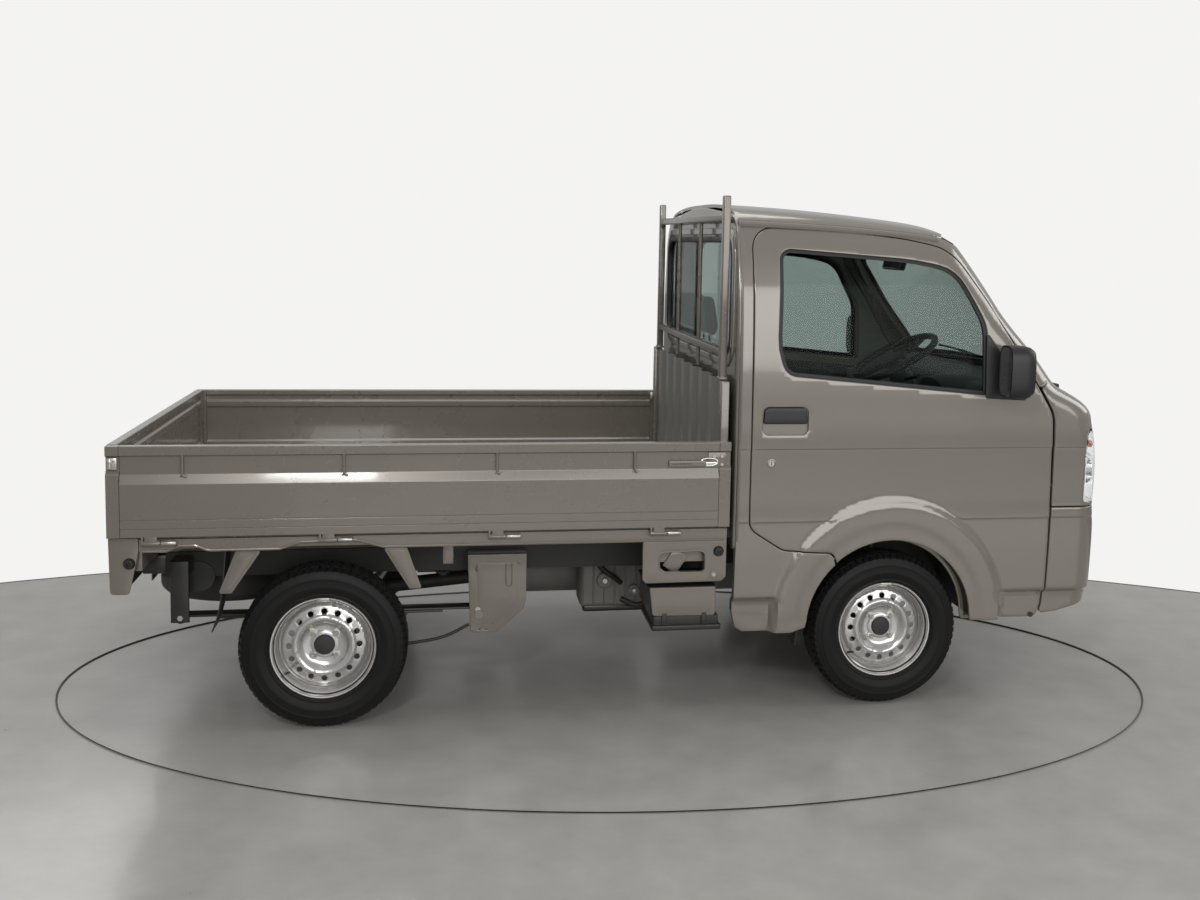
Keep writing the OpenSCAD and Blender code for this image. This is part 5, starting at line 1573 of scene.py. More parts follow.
TAIL_HINGE_Y = (-0.480, 0.0, 0.480)
tail_parts = gate_body("tail_gate", -0.7010, 0.7010, behind)
for y in TAIL_HINGE_Y:
    tail_parts.append(lathe("tail_barrel", disc_profile(0.009, 0.0415, 0.001),
                            (TAIL_AXIS_X, y - 0.0208, AXIS_Z), steps=28, material=BED_PAINT))
    tail_parts.append(block("tail_leaf", (BED_REAR - 0.0085, y - 0.0205, AXIS_Z),
                            (BED_REAR - 0.0005, y + 0.0205, 0.708), 0.002, 2, BED_PAINT))
    tail_parts.append(lathe("tail_bolt", disc_profile(0.006, 0.004, 0.001), (BED_REAR - 0.0085, y, 0.688),
                            axis="X", steps=6, material=ZINC))
    tail_parts[-1].data.transform(Matrix.Translation((-0.0035, 0, 0)))
for y in (-0.52, -0.17, 0.17, 0.52):
    tail_parts.append(tube("tail_hook", [(BED_REAR + 0.005, y, 0.911), (BED_REAR + 0.005, y, 0.870),
                                         (BED_REAR + 0.0055, y, 0.846)], 0.0045, 12, BED_PAINT))
piece(join("tail_gate", tail_parts), BED_PAINT, "tailgate", ["tailgate"])

# %% [markdown]
# Under the side gate runs the side rail with its wavy rolled lip, ending in a corner post at the rear
# and in a bracket with a window at the front. Rubber stops catch the hanging gate.

# %% Side rails
def upright(y):
    """The way onto a flat upright plane along the truck, seen from its right side."""
    return lambda points, depth: np.stack(
        [points[:, 0], np.full(len(points), y) + np.asarray(depth), points[:, 1]], 1)


on_rail = upright(-SILL_Y)


def side_rail():
    left, right = BED_REAR + 0.0925, BED_FRONT - 0.006
    low = [(REAR_X - 0.47, 0.601), (REAR_X - 0.44, 0.617), (REAR_X - 0.385, 0.617),
           (REAR_X - 0.350, 0.601), (REAR_X - 0.13, 0.601), (REAR_X - 0.07, 0.622), (REAR_X + 0.11, 0.624),
           (REAR_X + 0.19, 0.601)]
    corners = [(left, 0.644, 0.002), (left, 0.601, 0.004)] + [(x, z, 0.03) for x, z in low] + \
              [(right, 0.601, 0.004), (right, 0.644, 0.002)]
    outline = rounded(corners, 0.008)
    skirt = panel("skirt", outline, [], on_rail, 0.0025, roll=0.001, grid=0.25, material=BED_PAINT)
    lip_points = [p for p in outline if p[1] < 0.632 and left + 0.012 < p[0] < right - 0.012]
    lip_points.sort(key=lambda p: p[0])
    lip = tube("skirt_lip", [(p[0], -SILL_Y + 0.0015, p[1] + 0.002) for p in lip_points], 0.0048, 8,
               BED_PAINT, per_span=1)
    shelf = block("rail_shelf", (left, -SILL_Y, 0.6400), (right, -SILL_Y + 0.037, 0.6445), 0.001, 1,
                  BED_PAINT)
    web = block("rail_web", (left, -SILL_Y + 0.034, 0.6010), (right, -SILL_Y + 0.037, 0.6420), 0.001, 1,
                BED_PAINT)
    return [skirt, lip, shelf, web]


def corner_post():
    x = BED_REAR
    outline = rounded([(x + 0.002, 0.6455, 0.003), (x + 0.005, 0.480, 0.004), (x + 0.009, 0.466, 0.010),
                       (x + 0.062, 0.465, 0.012), (x + 0.070, 0.500, 0.02), (x + 0.091, 0.600, 0.01),
                       (x + 0.091, 0.6455, 0.003)], 0.006)
    face = panel("post", outline, [], on_rail, 0.003, roll=0.0015, grid=0.2, material=BED_PAINT)
    edge = block("post_edge", (x + 0.006, -SILL_Y + 0.001, 0.470), (x + 0.009, -SILL_Y + 0.030, 0.600), 0.001,
                 1, BED_PAINT)
    return [face, edge]


def rubber_stop(x, z):
    y = -SILL_Y
    return [lathe("stop",
                  [(ON_AXIS, 0), (0.0175, 0), (0.0180, 0.003), (0.0150, 0.0085), (0.0130, 0.0120),
                   (0.0080, 0.0125),
                           (0.0070, 0.0060), (ON_AXIS, 0.0060)], (x, y, z), axis="-Y", steps=32,
                           material=SEAL_RUBBER)]


def front_bracket():
    x = BED_FRONT
    outline = rounded([(x - 0.294, 0.602, 0.004), (x - 0.294, 0.470, 0.010), (x - 0.282, 0.456, 0.012),
                       (x - 0.022, 0.458, 0.020), (x - 0.006, 0.474, 0.008), (x - 0.006, 0.602, 0.004)],
                       0.006)
    hole = rounded([(x - 0.238, 0.563, 0.020), (x - 0.238, 0.506, 0.024), (x - 0.214, 0.490, 0.020),
                    (x - 0.078, 0.490, 0.016), (x - 0.078, 0.566, 0.020)], 0.005)
    face = panel("bracket", outline, [hole], on_rail, 0.003, roll=0.002, grid=0.2, material=BED_PAINT)
    rim = panel("bracket_rim", inset(hole, -0.002), [inset(hole, 0.003)], deeper(on_rail, -0.001), 0.018,
                roll=0.002, grid=0.2, material=BED_PAINT)
    inner = block("bracket_back", (x - 0.290, -SILL_Y + 0.034, 0.520), (x - 0.012, -SILL_Y + 0.037, 0.602),
                  0.001, 1, BED_PAINT)
    strut = block("bracket_strut", (x - 0.205, -SILL_Y + 0.028, 0.488), (x - 0.150, -SILL_Y + 0.034, 0.560),
                  0.002, 2, BED_PAINT, turn=Matrix.Rotation(math.radians(35), 3, "Y"))
    bolt = lathe("bracket_bolt", disc_profile(0.0135, 0.004, 0.001), (x - 0.050, -SILL_Y, 0.484), axis="-Y",
                 steps=28, material=BED_ZINC)
    head = lathe("bracket_head", disc_profile(0.0085, 0.009, 0.0015), (x - 0.050, -SILL_Y, 0.484), axis="-Y",
                 steps=6, material=ZINC)
    return [face, rim, inner, strut, bolt, head]


rail_parts = side_rail() + corner_post() + front_bracket()
rail_parts += rubber_stop(BED_REAR + 0.064, 0.565) + rubber_stop(BED_FRONT - 0.034, 0.563)
for x in HINGE_X:
    rail_parts += fixed_barrel(x)
for x in (BED_REAR + 0.060, REAR_X + 0.380, BED_FRONT - 0.120):
    rail_parts.append(block("outrigger", (x, -SILL_Y + 0.037, 0.531), (x + 0.034, -0.416, 0.599), 0.002, 2,
                            BED_PAINT))
rails_right = join("bed_rail_right", rail_parts)
piece(rails_right, BED_PAINT, "root", ["bed_side_rails"])
piece(mirrored(rails_right, "bed_rail_left"), BED_PAINT, "root")

# %% [markdown]
# Flat stays reach down behind the rear wheel, and rubber flaps and round liners keep the dirt off.

# %% Wheel guards: flat stays, rubber flaps and the front liners
def guard_parts():
    parts = []
    for top, low in (((-0.268, -0.189), (-0.322, -0.282)), ((0.189, 0.265), (0.273, 0.313))):
        outline = rounded([(REAR_X + low[0], 0.458, 0.006), (REAR_X + low[1], 0.458, 0.006),
                           (REAR_X + top[1], 0.596, 0.006), (REAR_X + top[0], 0.596, 0.006)], 0.004)
        parts.append(panel("stay", outline, [], deeper(on_rail, 0.010), 0.0035, roll=0.0015, grid=0.2,
                           material=BED_PAINT))
        parts.append(panel("stay_press", inset(outline, 0.008), [], deeper(on_rail, 0.0085), 0.003,
                           roll=0.002, grid=0.2, material=BED_PAINT))
    flap = [(REAR_X - 0.300, 0.596), (REAR_X - 0.308, 0.50), (REAR_X - 0.322, 0.40), (REAR_X - 0.344, 0.332)]
    path = smooth_path([(x, 0, z) for x, z in flap], 5)
    verts, faces = [], []
    for p in path:
        for dx in (-0.002, 0.002):
            for y in (-0.700, -0.590):
                verts.append((p.x + dx, y, p.z))
    for i in range(len(path) - 1):
        a = 4 * i
        for q in ((0, 1, 5, 4), (2, 3, 7, 6), (0, 2, 6, 4), (1, 3, 7, 5)):
            faces.append(tuple(a + k for k in q))
    end = 4 * (len(path) - 1)
    faces += [(0, 1, 3, 2), (end, end + 1, end + 3, end + 2)]
    parts.append(painted(outward(mesh_object("flap", verts, faces)), SEAL_RUBBER))
    arc = [(ARCH_X + (ARCH_R + 0.011) * math.cos(a), ARCH_Z + (ARCH_R + 0.011) * math.sin(a))
           for a in np.linspace(0.06, math.pi - 0.06, 40)]
    verts, faces = [], []
    for x, z in arc:
        out = Vector((x - ARCH_X, 0, z - ARCH_Z)).normalized() * 0.0025
        for dx, y in ((-1, -HALF_W + 0.040), (-1, -0.440), (1, -0.440), (1, -HALF_W + 0.040)):
            verts.append((x + dx * out.x, y, z + dx * out.z))
    for i in range(len(arc) - 1):
        for k in range(4):
            n = (k + 1) % 4
            faces.append((4 * i + k, 4 * i + n, 4 * i + 4 + n, 4 * i + 4 + k))
    faces += [(0, 1, 2, 3), tuple(4 * (len(arc) - 1) + k for k in range(4))]
    parts.append(painted(outward(mesh_object("liner", verts, faces)), BLACK_PLASTIC))
    x = ARCH_X - ARCH_R - 0.014
    parts.append(block("front_flap", (x - 0.006, -0.690, 0.215), (x, -0.520, 0.420), 0.002, 2, SEAL_RUBBER,
                       turn=Matrix.Rotation(math.radians(6), 3, "Y")))
    return parts


guards_right = join("wheel_guards_right", guard_parts())
piece(guards_right, BLACK_PLASTIC, "root", ["wheel_guards"])
piece(mirrored(guards_right, "wheel_guards_left"), BLACK_PLASTIC, "root")

# %% [markdown]
# The deck is ribbed sheet on crossmembers, and the headboard is corrugated sheet, which is why its
# top edge looks toothed from the side.

# %% Deck and headboard
def corrugated(low, high, period, height, sheet):
    """Profile of a sheet with flat-topped ribs: its top side, then its underside back again."""
    top = []
    count = int(round((high - low) / period))
    step = (high - low) / count
    for i in range(count):
        a = low + i * step
        top += [(a, 0.0), (a + 0.30 * step, 0.0), (a + 0.40 * step, -height), (a + 0.90 * step, -height)]
    top.append((high, 0.0))
    return top + [(a, b - sheet) for a, b in top[::-1]]


deck_parts = [extruded("deck_sheet", corrugated(-0.7010, 0.7010, 0.078, 0.0030, 0.0030), BED_REAR + 0.038,
                       BED_FRONT - 0.003, lambda a, b, c: (c, a, DECK - 0.0005 + b), BED_PAINT)]
cross = block("cross", (BED_REAR + 0.070, -0.676, 0.601), (BED_REAR + 0.110, 0.676, DECK - 0.008), 0.003, 2,
              BED_PAINT)
deck_parts.append(repeated(cross, "crossmembers", 8, BED_PAINT,
                           step=((BED_FRONT - BED_REAR - 0.200) / 7, 0, 0)))
for side in (-1, 1):
    y0, y1 = sorted((side * 0.366, side * 0.415))
    deck_parts.append(block("deck_rail", (BED_REAR + 0.060, y0, 0.526), (BED_FRONT - 0.020, y1, 0.600), 0.003,
                            2, BED_PAINT))
piece(join("deck", deck_parts), BED_PAINT, "root", ["bed_deck"])

head_parts = [extruded("head_sheet", corrugated(-0.690, 0.690, 0.172, 0.016, 0.0025), DECK + 0.003, 1.139,
                       lambda a, b, c: (BED_FRONT - 0.030 - b, a, c), BED_ZINC)]
head_parts.append(block("head_foot", (BED_FRONT - 0.034, -0.701, DECK + 0.0005),
                        (BED_FRONT - 0.008, 0.701, DECK + 0.030), 0.002, 2, BED_ZINC))
for side in (-1, 1):
    y0, y1 = sorted((side * 0.662, side * 0.701))
    head_parts.append(block("head_post", (BED_FRONT - 0.034, y0, DECK + 0.001),
                            (BED_FRONT - 0.007, y1, 1.1395), 0.003, 2, BED_PAINT))
    head_parts.append(block("head_catch", (BED_FRONT - 0.050, y0 + 0.008, 0.905),
                            (BED_FRONT - 0.034, y1 - 0.008, 0.935), 0.003, 2, ZINC))
piece(join("headboard_sheet", head_parts), BED_ZINC, "root", ["headboard"])

# %% [markdown]
# The guard frame stands on the headboard and keeps the load off the rear window.

# %% Guard frame
def guard_bars():
    x0, x1 = BED_FRONT - 0.031, BED_FRONT - 0.005
    parts = []
    for side in (-1, 1):
        y0, y1 = sorted((side * 0.617, side * 0.645))
        parts.append(block("guard_post", (x0, y0, 1.141), (x1, y1, 1.7645), 0.005, 3, BED_PAINT))
        parts.append(block("guard_foot", (x0 - 0.0015, y0 - 0.010, 1.1405), (x1 + 0.0005, y1 + 0.010, 1.150),
                           0.002, 2, BED_PAINT))
        bend = [((x0 + x1) / 2, side * (0.630 - 0.045 + 0.045 * math.sin(a)),
                 1.690 - 0.045 + 0.045 * math.cos(a))
                for a in np.linspace(0.1, math.pi / 2 - 0.1, 8)]
        parts.append(tube("guard_bend", bend, 0.0105, 12, BED_PAINT, per_span=1))
        parts.append(tube("guard_bar",
                          [((x0 + x1) / 2, side * 0.210, 1.150), ((x0 + x1) / 2, side * 0.210, 1.680)],
                          0.0075, 16, BED_PAINT, per_span=1))
    parts.append(block("guard_top", (x0 + 0.001, -0.620, 1.677), (x1 - 0.001, 0.620, 1.7035), 0.005, 3,
                       BED_PAINT))
    parts.append(block("guard_cross", (x0 + 0.002, -0.620, 1.2225), (x0 + 0.008, 0.620, 1.2495), 0.002, 2,
                       BED_PAINT))
    parts.append(block("guard_lip", (x0 + 0.002, -0.620, 1.2440), (x1 - 0.002, 0.620, 1.2495), 0.002, 2,
                       BED_PAINT))
    return parts


piece(join("guard_bars", guard_bars()), BED_PAINT, "root", ["guard_frame"])

# %% [markdown]
# The rear sill carries the tailgate's hinges, the lamps and a blank number plate.

# %% Rear sill, tail lamps and the blank number plate
def rear_sill_parts():
    x = BED_REAR
    parts = [block("sill_beam", (x + 0.007, -SILL_Y + 0.004, 0.561), (x + 0.033, SILL_Y - 0.004, 0.6445),
                   0.004, 3, BED_PAINT),
             block("sill_press", (x + 0.0060, -0.62, 0.588), (x + 0.010, 0.62, 0.612), 0.002, 2, BED_PAINT),
             block("sill_apron", (x + 0.022, -0.452, 0.501), (x + 0.034, 0.452, 0.562), 0.003, 2,
                   SATIN_BLACK),
             block("plate_arm", (x + 0.0100, -0.040, 0.466), (x + 0.0215, 0.040, 0.519), 0.002, 2,
                   SATIN_BLACK),
             block("plate_back", (x + 0.0085, -0.164, 0.361), (x + 0.0100, 0.164, 0.524), 0.0005, 1,
                   SATIN_BLACK),
             block("plate", (x + 0.0045, -0.1645, 0.3605), (x + 0.0085, 0.1645, 0.5245), 0.0015, 2, PLATE)]
    for side in (-1, 1):
        y0, y1 = sorted((side * 0.367, side * 0.413))
        parts.append(block("sill_bracket", (x + 0.034, y0, 0.451), (x + 0.109, y1, 0.515), 0.003, 2,
                           SATIN_BLACK))
        parts.append(lathe("plate_screw", disc_profile(0.0062, 0.003, 0.0008),
                           (x + 0.0020, side * 0.105, 0.507), axis="X", steps=20, material=ZINC))
        parts.append(lathe("rear_stop",
                           [(ON_AXIS, 0), (0.015, 0), (0.0135, 0.020), (0.010, 0.026), (ON_AXIS, 0.026)],
                           (x - 0.0215 + 0.026, side * 0.300, 0.525), axis="X", steps=28,
                           material=SEAL_RUBBER))
        parts[-1].data.transform(Matrix.Translation((x + 0.0045, 0, 0)) @ Matrix.Scale(-1, 4, (1, 0, 0))
                                 @ Matrix.Translation((-(x + 0.0045), 0, 0)))
        parts[-1].data.flip_normals()
    for y in TAIL_HINGE_Y:
        for s in (-1, 1):
            parts.append(lathe("tail_fixed", disc_profile(0.0078, 0.031, 0.001),
                               (TAIL_AXIS_X, y + s * 0.0385 - 0.0155, AXIS_Z), steps=28, material=ZINC))
            parts.append(block("tail_foot", (TAIL_AXIS_X, y + s * 0.038 - 0.015, AXIS_Z - 0.0085),
                               (x + 0.008, y + s * 0.038 + 0.015, AXIS_Z - 0.001), 0.001, 1, BED_PAINT))
    return parts


PLATE = finish("plate_white", (0.62, 0.62, 0.58), rough=0.35, dust=0.05)
piece(join("rear_sill_beam", rear_sill_parts()), BED_PAINT, "root", ["rear_sill"])


def tail_lamp():
    x = BED_REAR
    low, high = -HALF_W + 0.082, -HALF_W + 0.268
    parts = [block("lamp_base", (x + 0.022, low, 0.4715), (x + 0.049, high, 0.5590), 0.004, 3, BLACK_PLASTIC)]
    width = (high - low - 0.006) / 3
    for i, glass in enumerate((AMBER_LENS, LENS, RED_LENS)):
        a = low + 0.003 + i * width
        parts.append(block("lamp_pane", (x + 0.0085, a + 0.0008, 0.4740),
                           (x + 0.022, a + width - 0.0008, 0.5565), 0.003, 3, glass))
        parts.append(block("lamp_mirror", (x + 0.0195, a + 0.003, 0.4770),
                           (x + 0.0215, a + width - 0.003, 0.5535), 0.001, 1, CHROME))
    return parts


lamp_right = join("tail_lamp_right", tail_lamp())
piece(lamp_right, RED_LENS, "root", ["tail_lamps"])
piece(mirrored(lamp_right, "tail_lamp_left"), RED_LENS, "root")

# %% [markdown]
# ## Mirrors and wipers
# The mirror shell is lofted through rounded outlines, so it bulges to the front and has a rim round
# the glass. It rides on the door, like the cheek it is bolted to.

# %% Door mirrors
def loft(name, loops, material):
    """Joins outlines of equal point counts into one skin."""
    count = len(loops[0])
    verts = [tuple(p) for loop in loops for p in loop]
    faces = []
    for k in range(len(loops) - 1):
        for i in range(count):
            j = (i + 1) % count
            faces.append((k * count + i, k * count + j, (k + 1) * count + j, (k + 1) * count + i))
    faces += [tuple(range(count))[::-1], tuple((len(loops) - 1) * count + i for i in range(count))]
    return painted(outward(mesh_object(name, verts, faces)), material)


def oval(x, half_y, half_z, power=4.0, steps=56):
    a = around(steps)
    c, s = np.cos(a), np.sin(a)
    y = half_y * np.sign(c) * np.abs(c) ** (2 / power)
    z = half_z * np.sign(s) * np.abs(s) ** (2 / power)
    return np.stack([np.full(steps, x), y, z], 1)


def door_mirror():
    shell = loft("shell", [oval(x, hy, hz) for x, hy, hz in (
        (-0.0185, 0.0600, 0.0840), (-0.0210, 0.0625, 0.0870), (-0.0200, 0.0650, 0.0895),
        (-0.012, 0.0655, 0.0905), (0.030, 0.0650, 0.0900), (0.052, 0.0610, 0.0860), (0.066, 0.0520, 0.0760),
        (0.0730, 0.0350, 0.0540))],
        BLACK_PLASTIC)
    glass = loft("mirror_glass", [oval(-0.0190, 0.0585, 0.0825), oval(-0.0200, 0.0585, 0.0825)], CHROME)
    seat = Matrix.Translation((CAB_NOSE - 0.442, -HALF_W - 0.0850, 1.190)) @ Matrix.Rotation(math.radians(-6),
                                                                                             4, "Z")
    for part in (shell, glass):
        part.data.transform(seat)
    x = CAB_NOSE - 0.442
    arm = tube("mirror_arm", [(x + 0.022, -HALF_W - 0.055, 1.185), (x + 0.052, -HALF_W - 0.030, 1.178),
                              (x + 0.080, -HALF_W + 0.004, 1.168)], 0.022, 20, BLACK_PLASTIC, flat=0.75)
    foot = block("mirror_foot", (x + 0.045, -HALF_W - 0.0065, 1.122), (x + 0.108, -HALF_W + 0.022, 1.232),
                 0.005, 3, BLACK_PLASTIC)
    return [shell, glass, arm, foot]


mirror_right = join("mirror_shell_right", door_mirror())
mirror_left = mirrored(mirror_right, "mirror_shell_left")
piece(mirror_right, BLACK_PLASTIC, "door_right", ["mirror_right"])
piece(mirror_left, BLACK_PLASTIC, "door_left", ["mirror_left"])

# %% [markdown]
# The wipers lie on the glass, and a short antenna stands on the front pillar.

# %% Wipers and roof antenna
def on_glass(y, s, out):
    return tuple(from_screen(np.array([[y, s]]), np.full(1, -out))[0])


def wiper_parts():
    parts = []
    for y in (-0.430, 0.030):
        parts.append(tube("wiper_post", [on_glass(y, 0.004, -0.012), on_glass(y, 0.004, 0.010)], 0.009, 16,
                          SATIN_BLACK, per_span=1))
        parts.append(tube("wiper_arm", [on_glass(y, 0.004, 0.010), on_glass(y + 0.12, 0.020, 0.013),
                                        on_glass(y + 0.238, 0.036, 0.013)], 0.0055, 10, SATIN_BLACK,
                                        flat=0.6))
        parts.append(tube("wiper_blade",
                          [on_glass(y + 0.04 + 0.07 * k, 0.018 + 0.008 * k, 0.0085) for k in range(6)],
                          0.0045, 8, SATIN_BLACK))
    return parts


piece(join("wiper_set", wiper_parts()), SATIN_BLACK, "root", ["wipers"])
antenna_at = from_side(np.array([[CAB_NOSE - 0.60, 1.628]]), np.full(1, -0.001))[0]
antenna_ends = [tuple(antenna_at + np.array(offset))
                for offset in ([-0.030, 0.004, 0.010], [0.012, 0.004, -0.012])]
antenna = tube("antenna_base", antenna_ends, 0.0055, 14, SATIN_BLACK, per_span=1)
piece(join("antenna", [antenna]), SATIN_BLACK, "root")
print("bed, mirrors and wipers done")

# %% [markdown]
# ## Under the body
# The spring hanger, the battery box, the gearbox and its hoses show between the wheels, so they are
# modelled with their pressings and bolts. The rest of the chassis keeps its CAD shape.

# %% Leaf springs with hangers
def spring_parts():
    outer, rail = -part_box("leaf_springs")[1].y, -0.4155
    mid = outer + 0.0365
    z = HUBS["rear_left"].z + 0.036
    parts = []
    for i in range(3):
        parts.append(block("leaf", (REAR_X - 0.480 + 0.120 * (2 - i), mid - 0.028, z + 0.008 * i),
                           (REAR_X + 0.500 - 0.120 * (2 - i), mid + 0.028, z + 0.008 * i + 0.0075), 0.002, 2,
                           SATIN_BLACK))
    for x in (REAR_X + 0.500, REAR_X - 0.480):
        parts.append(lathe("spring_eye", disc_profile(0.021, 0.056, 0.002), (x, mid - 0.028, z + 0.016),
                           steps=28, material=SATIN_BLACK))
        parts.append(lathe("eye_bolt", disc_profile(0.011, 0.008, 0.0015), (x, outer + 0.0075, z + 0.016),
                           axis="-Y", steps=6, material=ZINC))
    for x in (REAR_X - 0.038, REAR_X + 0.038):
        parts.append(tube("u_bolt",
                          [(x, mid - 0.030, z - 0.010), (x, mid - 0.030, z + 0.024),
                           (x, mid - 0.020, z + 0.032),
                                     (x, mid + 0.020, z + 0.032), (x, mid + 0.030, z + 0.024),
                                     (x, mid + 0.030, z - 0.010)],
                          0.005, 10, ZINC))
    hanger = rounded([(REAR_X + 0.474, 0.246, 0.010), (REAR_X + 0.486, 0.237, 0.006),
                      (REAR_X + 0.560, 0.237, 0.012), (REAR_X + 0.580, 0.250, 0.02),
                      (REAR_X + 0.656, 0.316, 0.02), (REAR_X + 0.667, 0.350, 0.02),
                      (REAR_X + 0.667, 0.514, 0.004), (REAR_X + 0.464, 0.514, 0.004)], 0.006)
    on_hanger = upright(outer + 0.0005)
    holes = [circle(0.0115, 20, (REAR_X + 0.502, 0.462)), circle(0.005, 12, (REAR_X + 0.528, 0.468)),
             circle(0.005, 12, (REAR_X + 0.640, 0.484)), circle(0.004, 12, (REAR_X + 0.505, 0.250)),
             circle(0.004, 12, (REAR_X + 0.528, 0.250))]
    parts.append(panel("hanger", hanger, holes, on_hanger, 0.005, roll=0.002, grid=0.2, material=BED_PAINT))
    parts.append(panel("hanger_press", inset(hanger, 0.030), [], deeper(on_hanger, -0.0004), 0.003,
                       roll=0.002, grid=0.2, material=BED_PAINT))
    parts.append(tube("hanger_crease", [(REAR_X + 0.596, outer, 0.480), (REAR_X + 0.596, outer, 0.412),
                                        (REAR_X + 0.606, outer, 0.400), (REAR_X + 0.616, outer, 0.412),
                                        (REAR_X + 0.616, outer, 0.480)], 0.0025, 8, BED_PAINT))
    parts.append(lathe("hanger_washer", disc_profile(0.016, 0.003, 0.001), (REAR_X + 0.504, outer, 0.302),
                       axis="-Y", steps=28, material=BED_ZINC))
    parts.append(block("hanger_box", (REAR_X + 0.464, outer + 0.005, 0.451), (REAR_X + 0.667, rail, 0.514),
                       0.003, 2, BED_PAINT))
    x = REAR_X - 0.510
    parts.append(block("shackle", (x, outer + 0.0005, z), (x + 0.060, outer + 0.0075, 0.514), 0.006, 3,
                       SATIN_BLACK))
    parts.append(block("shackle_box", (x, outer + 0.007, 0.461), (x + 0.060, rail, 0.514), 0.004, 2,
                       SATIN_BLACK))
    damper_y = -0.365 + 0.030
    low, high = Vector((REAR_X + 0.070, damper_y, 0.262)), Vector((REAR_X + 0.190, damper_y, 0.442))
    parts.append(tube("damper", [low, low.lerp(high, 0.62)], 0.0215, 20, SATIN_BLACK, per_span=1))
    parts.append(tube("damper_rod", [low.lerp(high, 0.60), high], 0.010, 16, ZINC, per_span=1))
    parts.append(tube("brake_cable",
                      [(REAR_X + 0.470, outer + 0.020, 0.262), (REAR_X + 0.380, outer + 0.015, 0.222),
                                      (REAR_X + 0.250, outer + 0.005, 0.205),
                                      (REAR_X + 0.120, outer - 0.035, 0.212),
                                      (REAR_X + 0.060, outer - 0.040, 0.235)], 0.0055, 10, SEAL_RUBBER))
    return parts


springs_right = join("springs_right", spring_parts())
piece(springs_right, SATIN_BLACK, "root", ["leaf_springs"])
piece(mirrored(springs_right, "springs_left"), SATIN_BLACK, "root")

# %% [markdown]
# The battery box hangs under the bed's front end, beside the gearbox with its hoses.

# %% Battery box, air box, gearbox castings and hoses
def battery_parts():
    low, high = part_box("battery_box")
    front = -HALF_W + 0.049
    face = rounded([(low.x + 0.006, 0.432, 0.006), (low.x + 0.018, 0.334, 0.012),
                    (high.x - 0.022, 0.331, 0.012), (high.x - 0.022, 0.432, 0.006)], 0.006)
    parts = [panel("battery_face", face, [], upright(front),
                   0.004, roll=0.003, grid=0.2, material=BED_PAINT),
             block("battery_case", (low.x + 0.010, front + 0.004, 0.333), (high.x - 0.024, -0.448, 0.431),
                   0.006, 3, SATIN_BLACK),
             block("battery_lid", (low.x + 0.004, front + 0.002, 0.424), (high.x - 0.020, -0.446, 0.434),
                   0.003, 2, BLACK_PLASTIC),
             block("battery_tray", (low.x + 0.016, front + 0.0005, 0.2805), (high.x - 0.0005, -0.446, 0.300),
                   0.006, 3, BLACK_PLASTIC),
             block("battery_wall", (low.x + 0.022, front + 0.006, 0.298), (high.x - 0.010, -0.448, 0.332),
                   0.004, 3, BLACK_PLASTIC),
             block("battery_arm", (low.x + 0.031, -0.436, 0.300), (low.x + 0.059, -0.4165, 0.499), 0.003, 2,
                   SATIN_BLACK)]
    for x in (low.x + 0.050, high.x - 0.070):
        parts.append(block("battery_clip", (x, front - 0.0005, 0.300), (x + 0.018, front + 0.004, 0.345),
                           0.002, 2, SATIN_BLACK))
    return parts


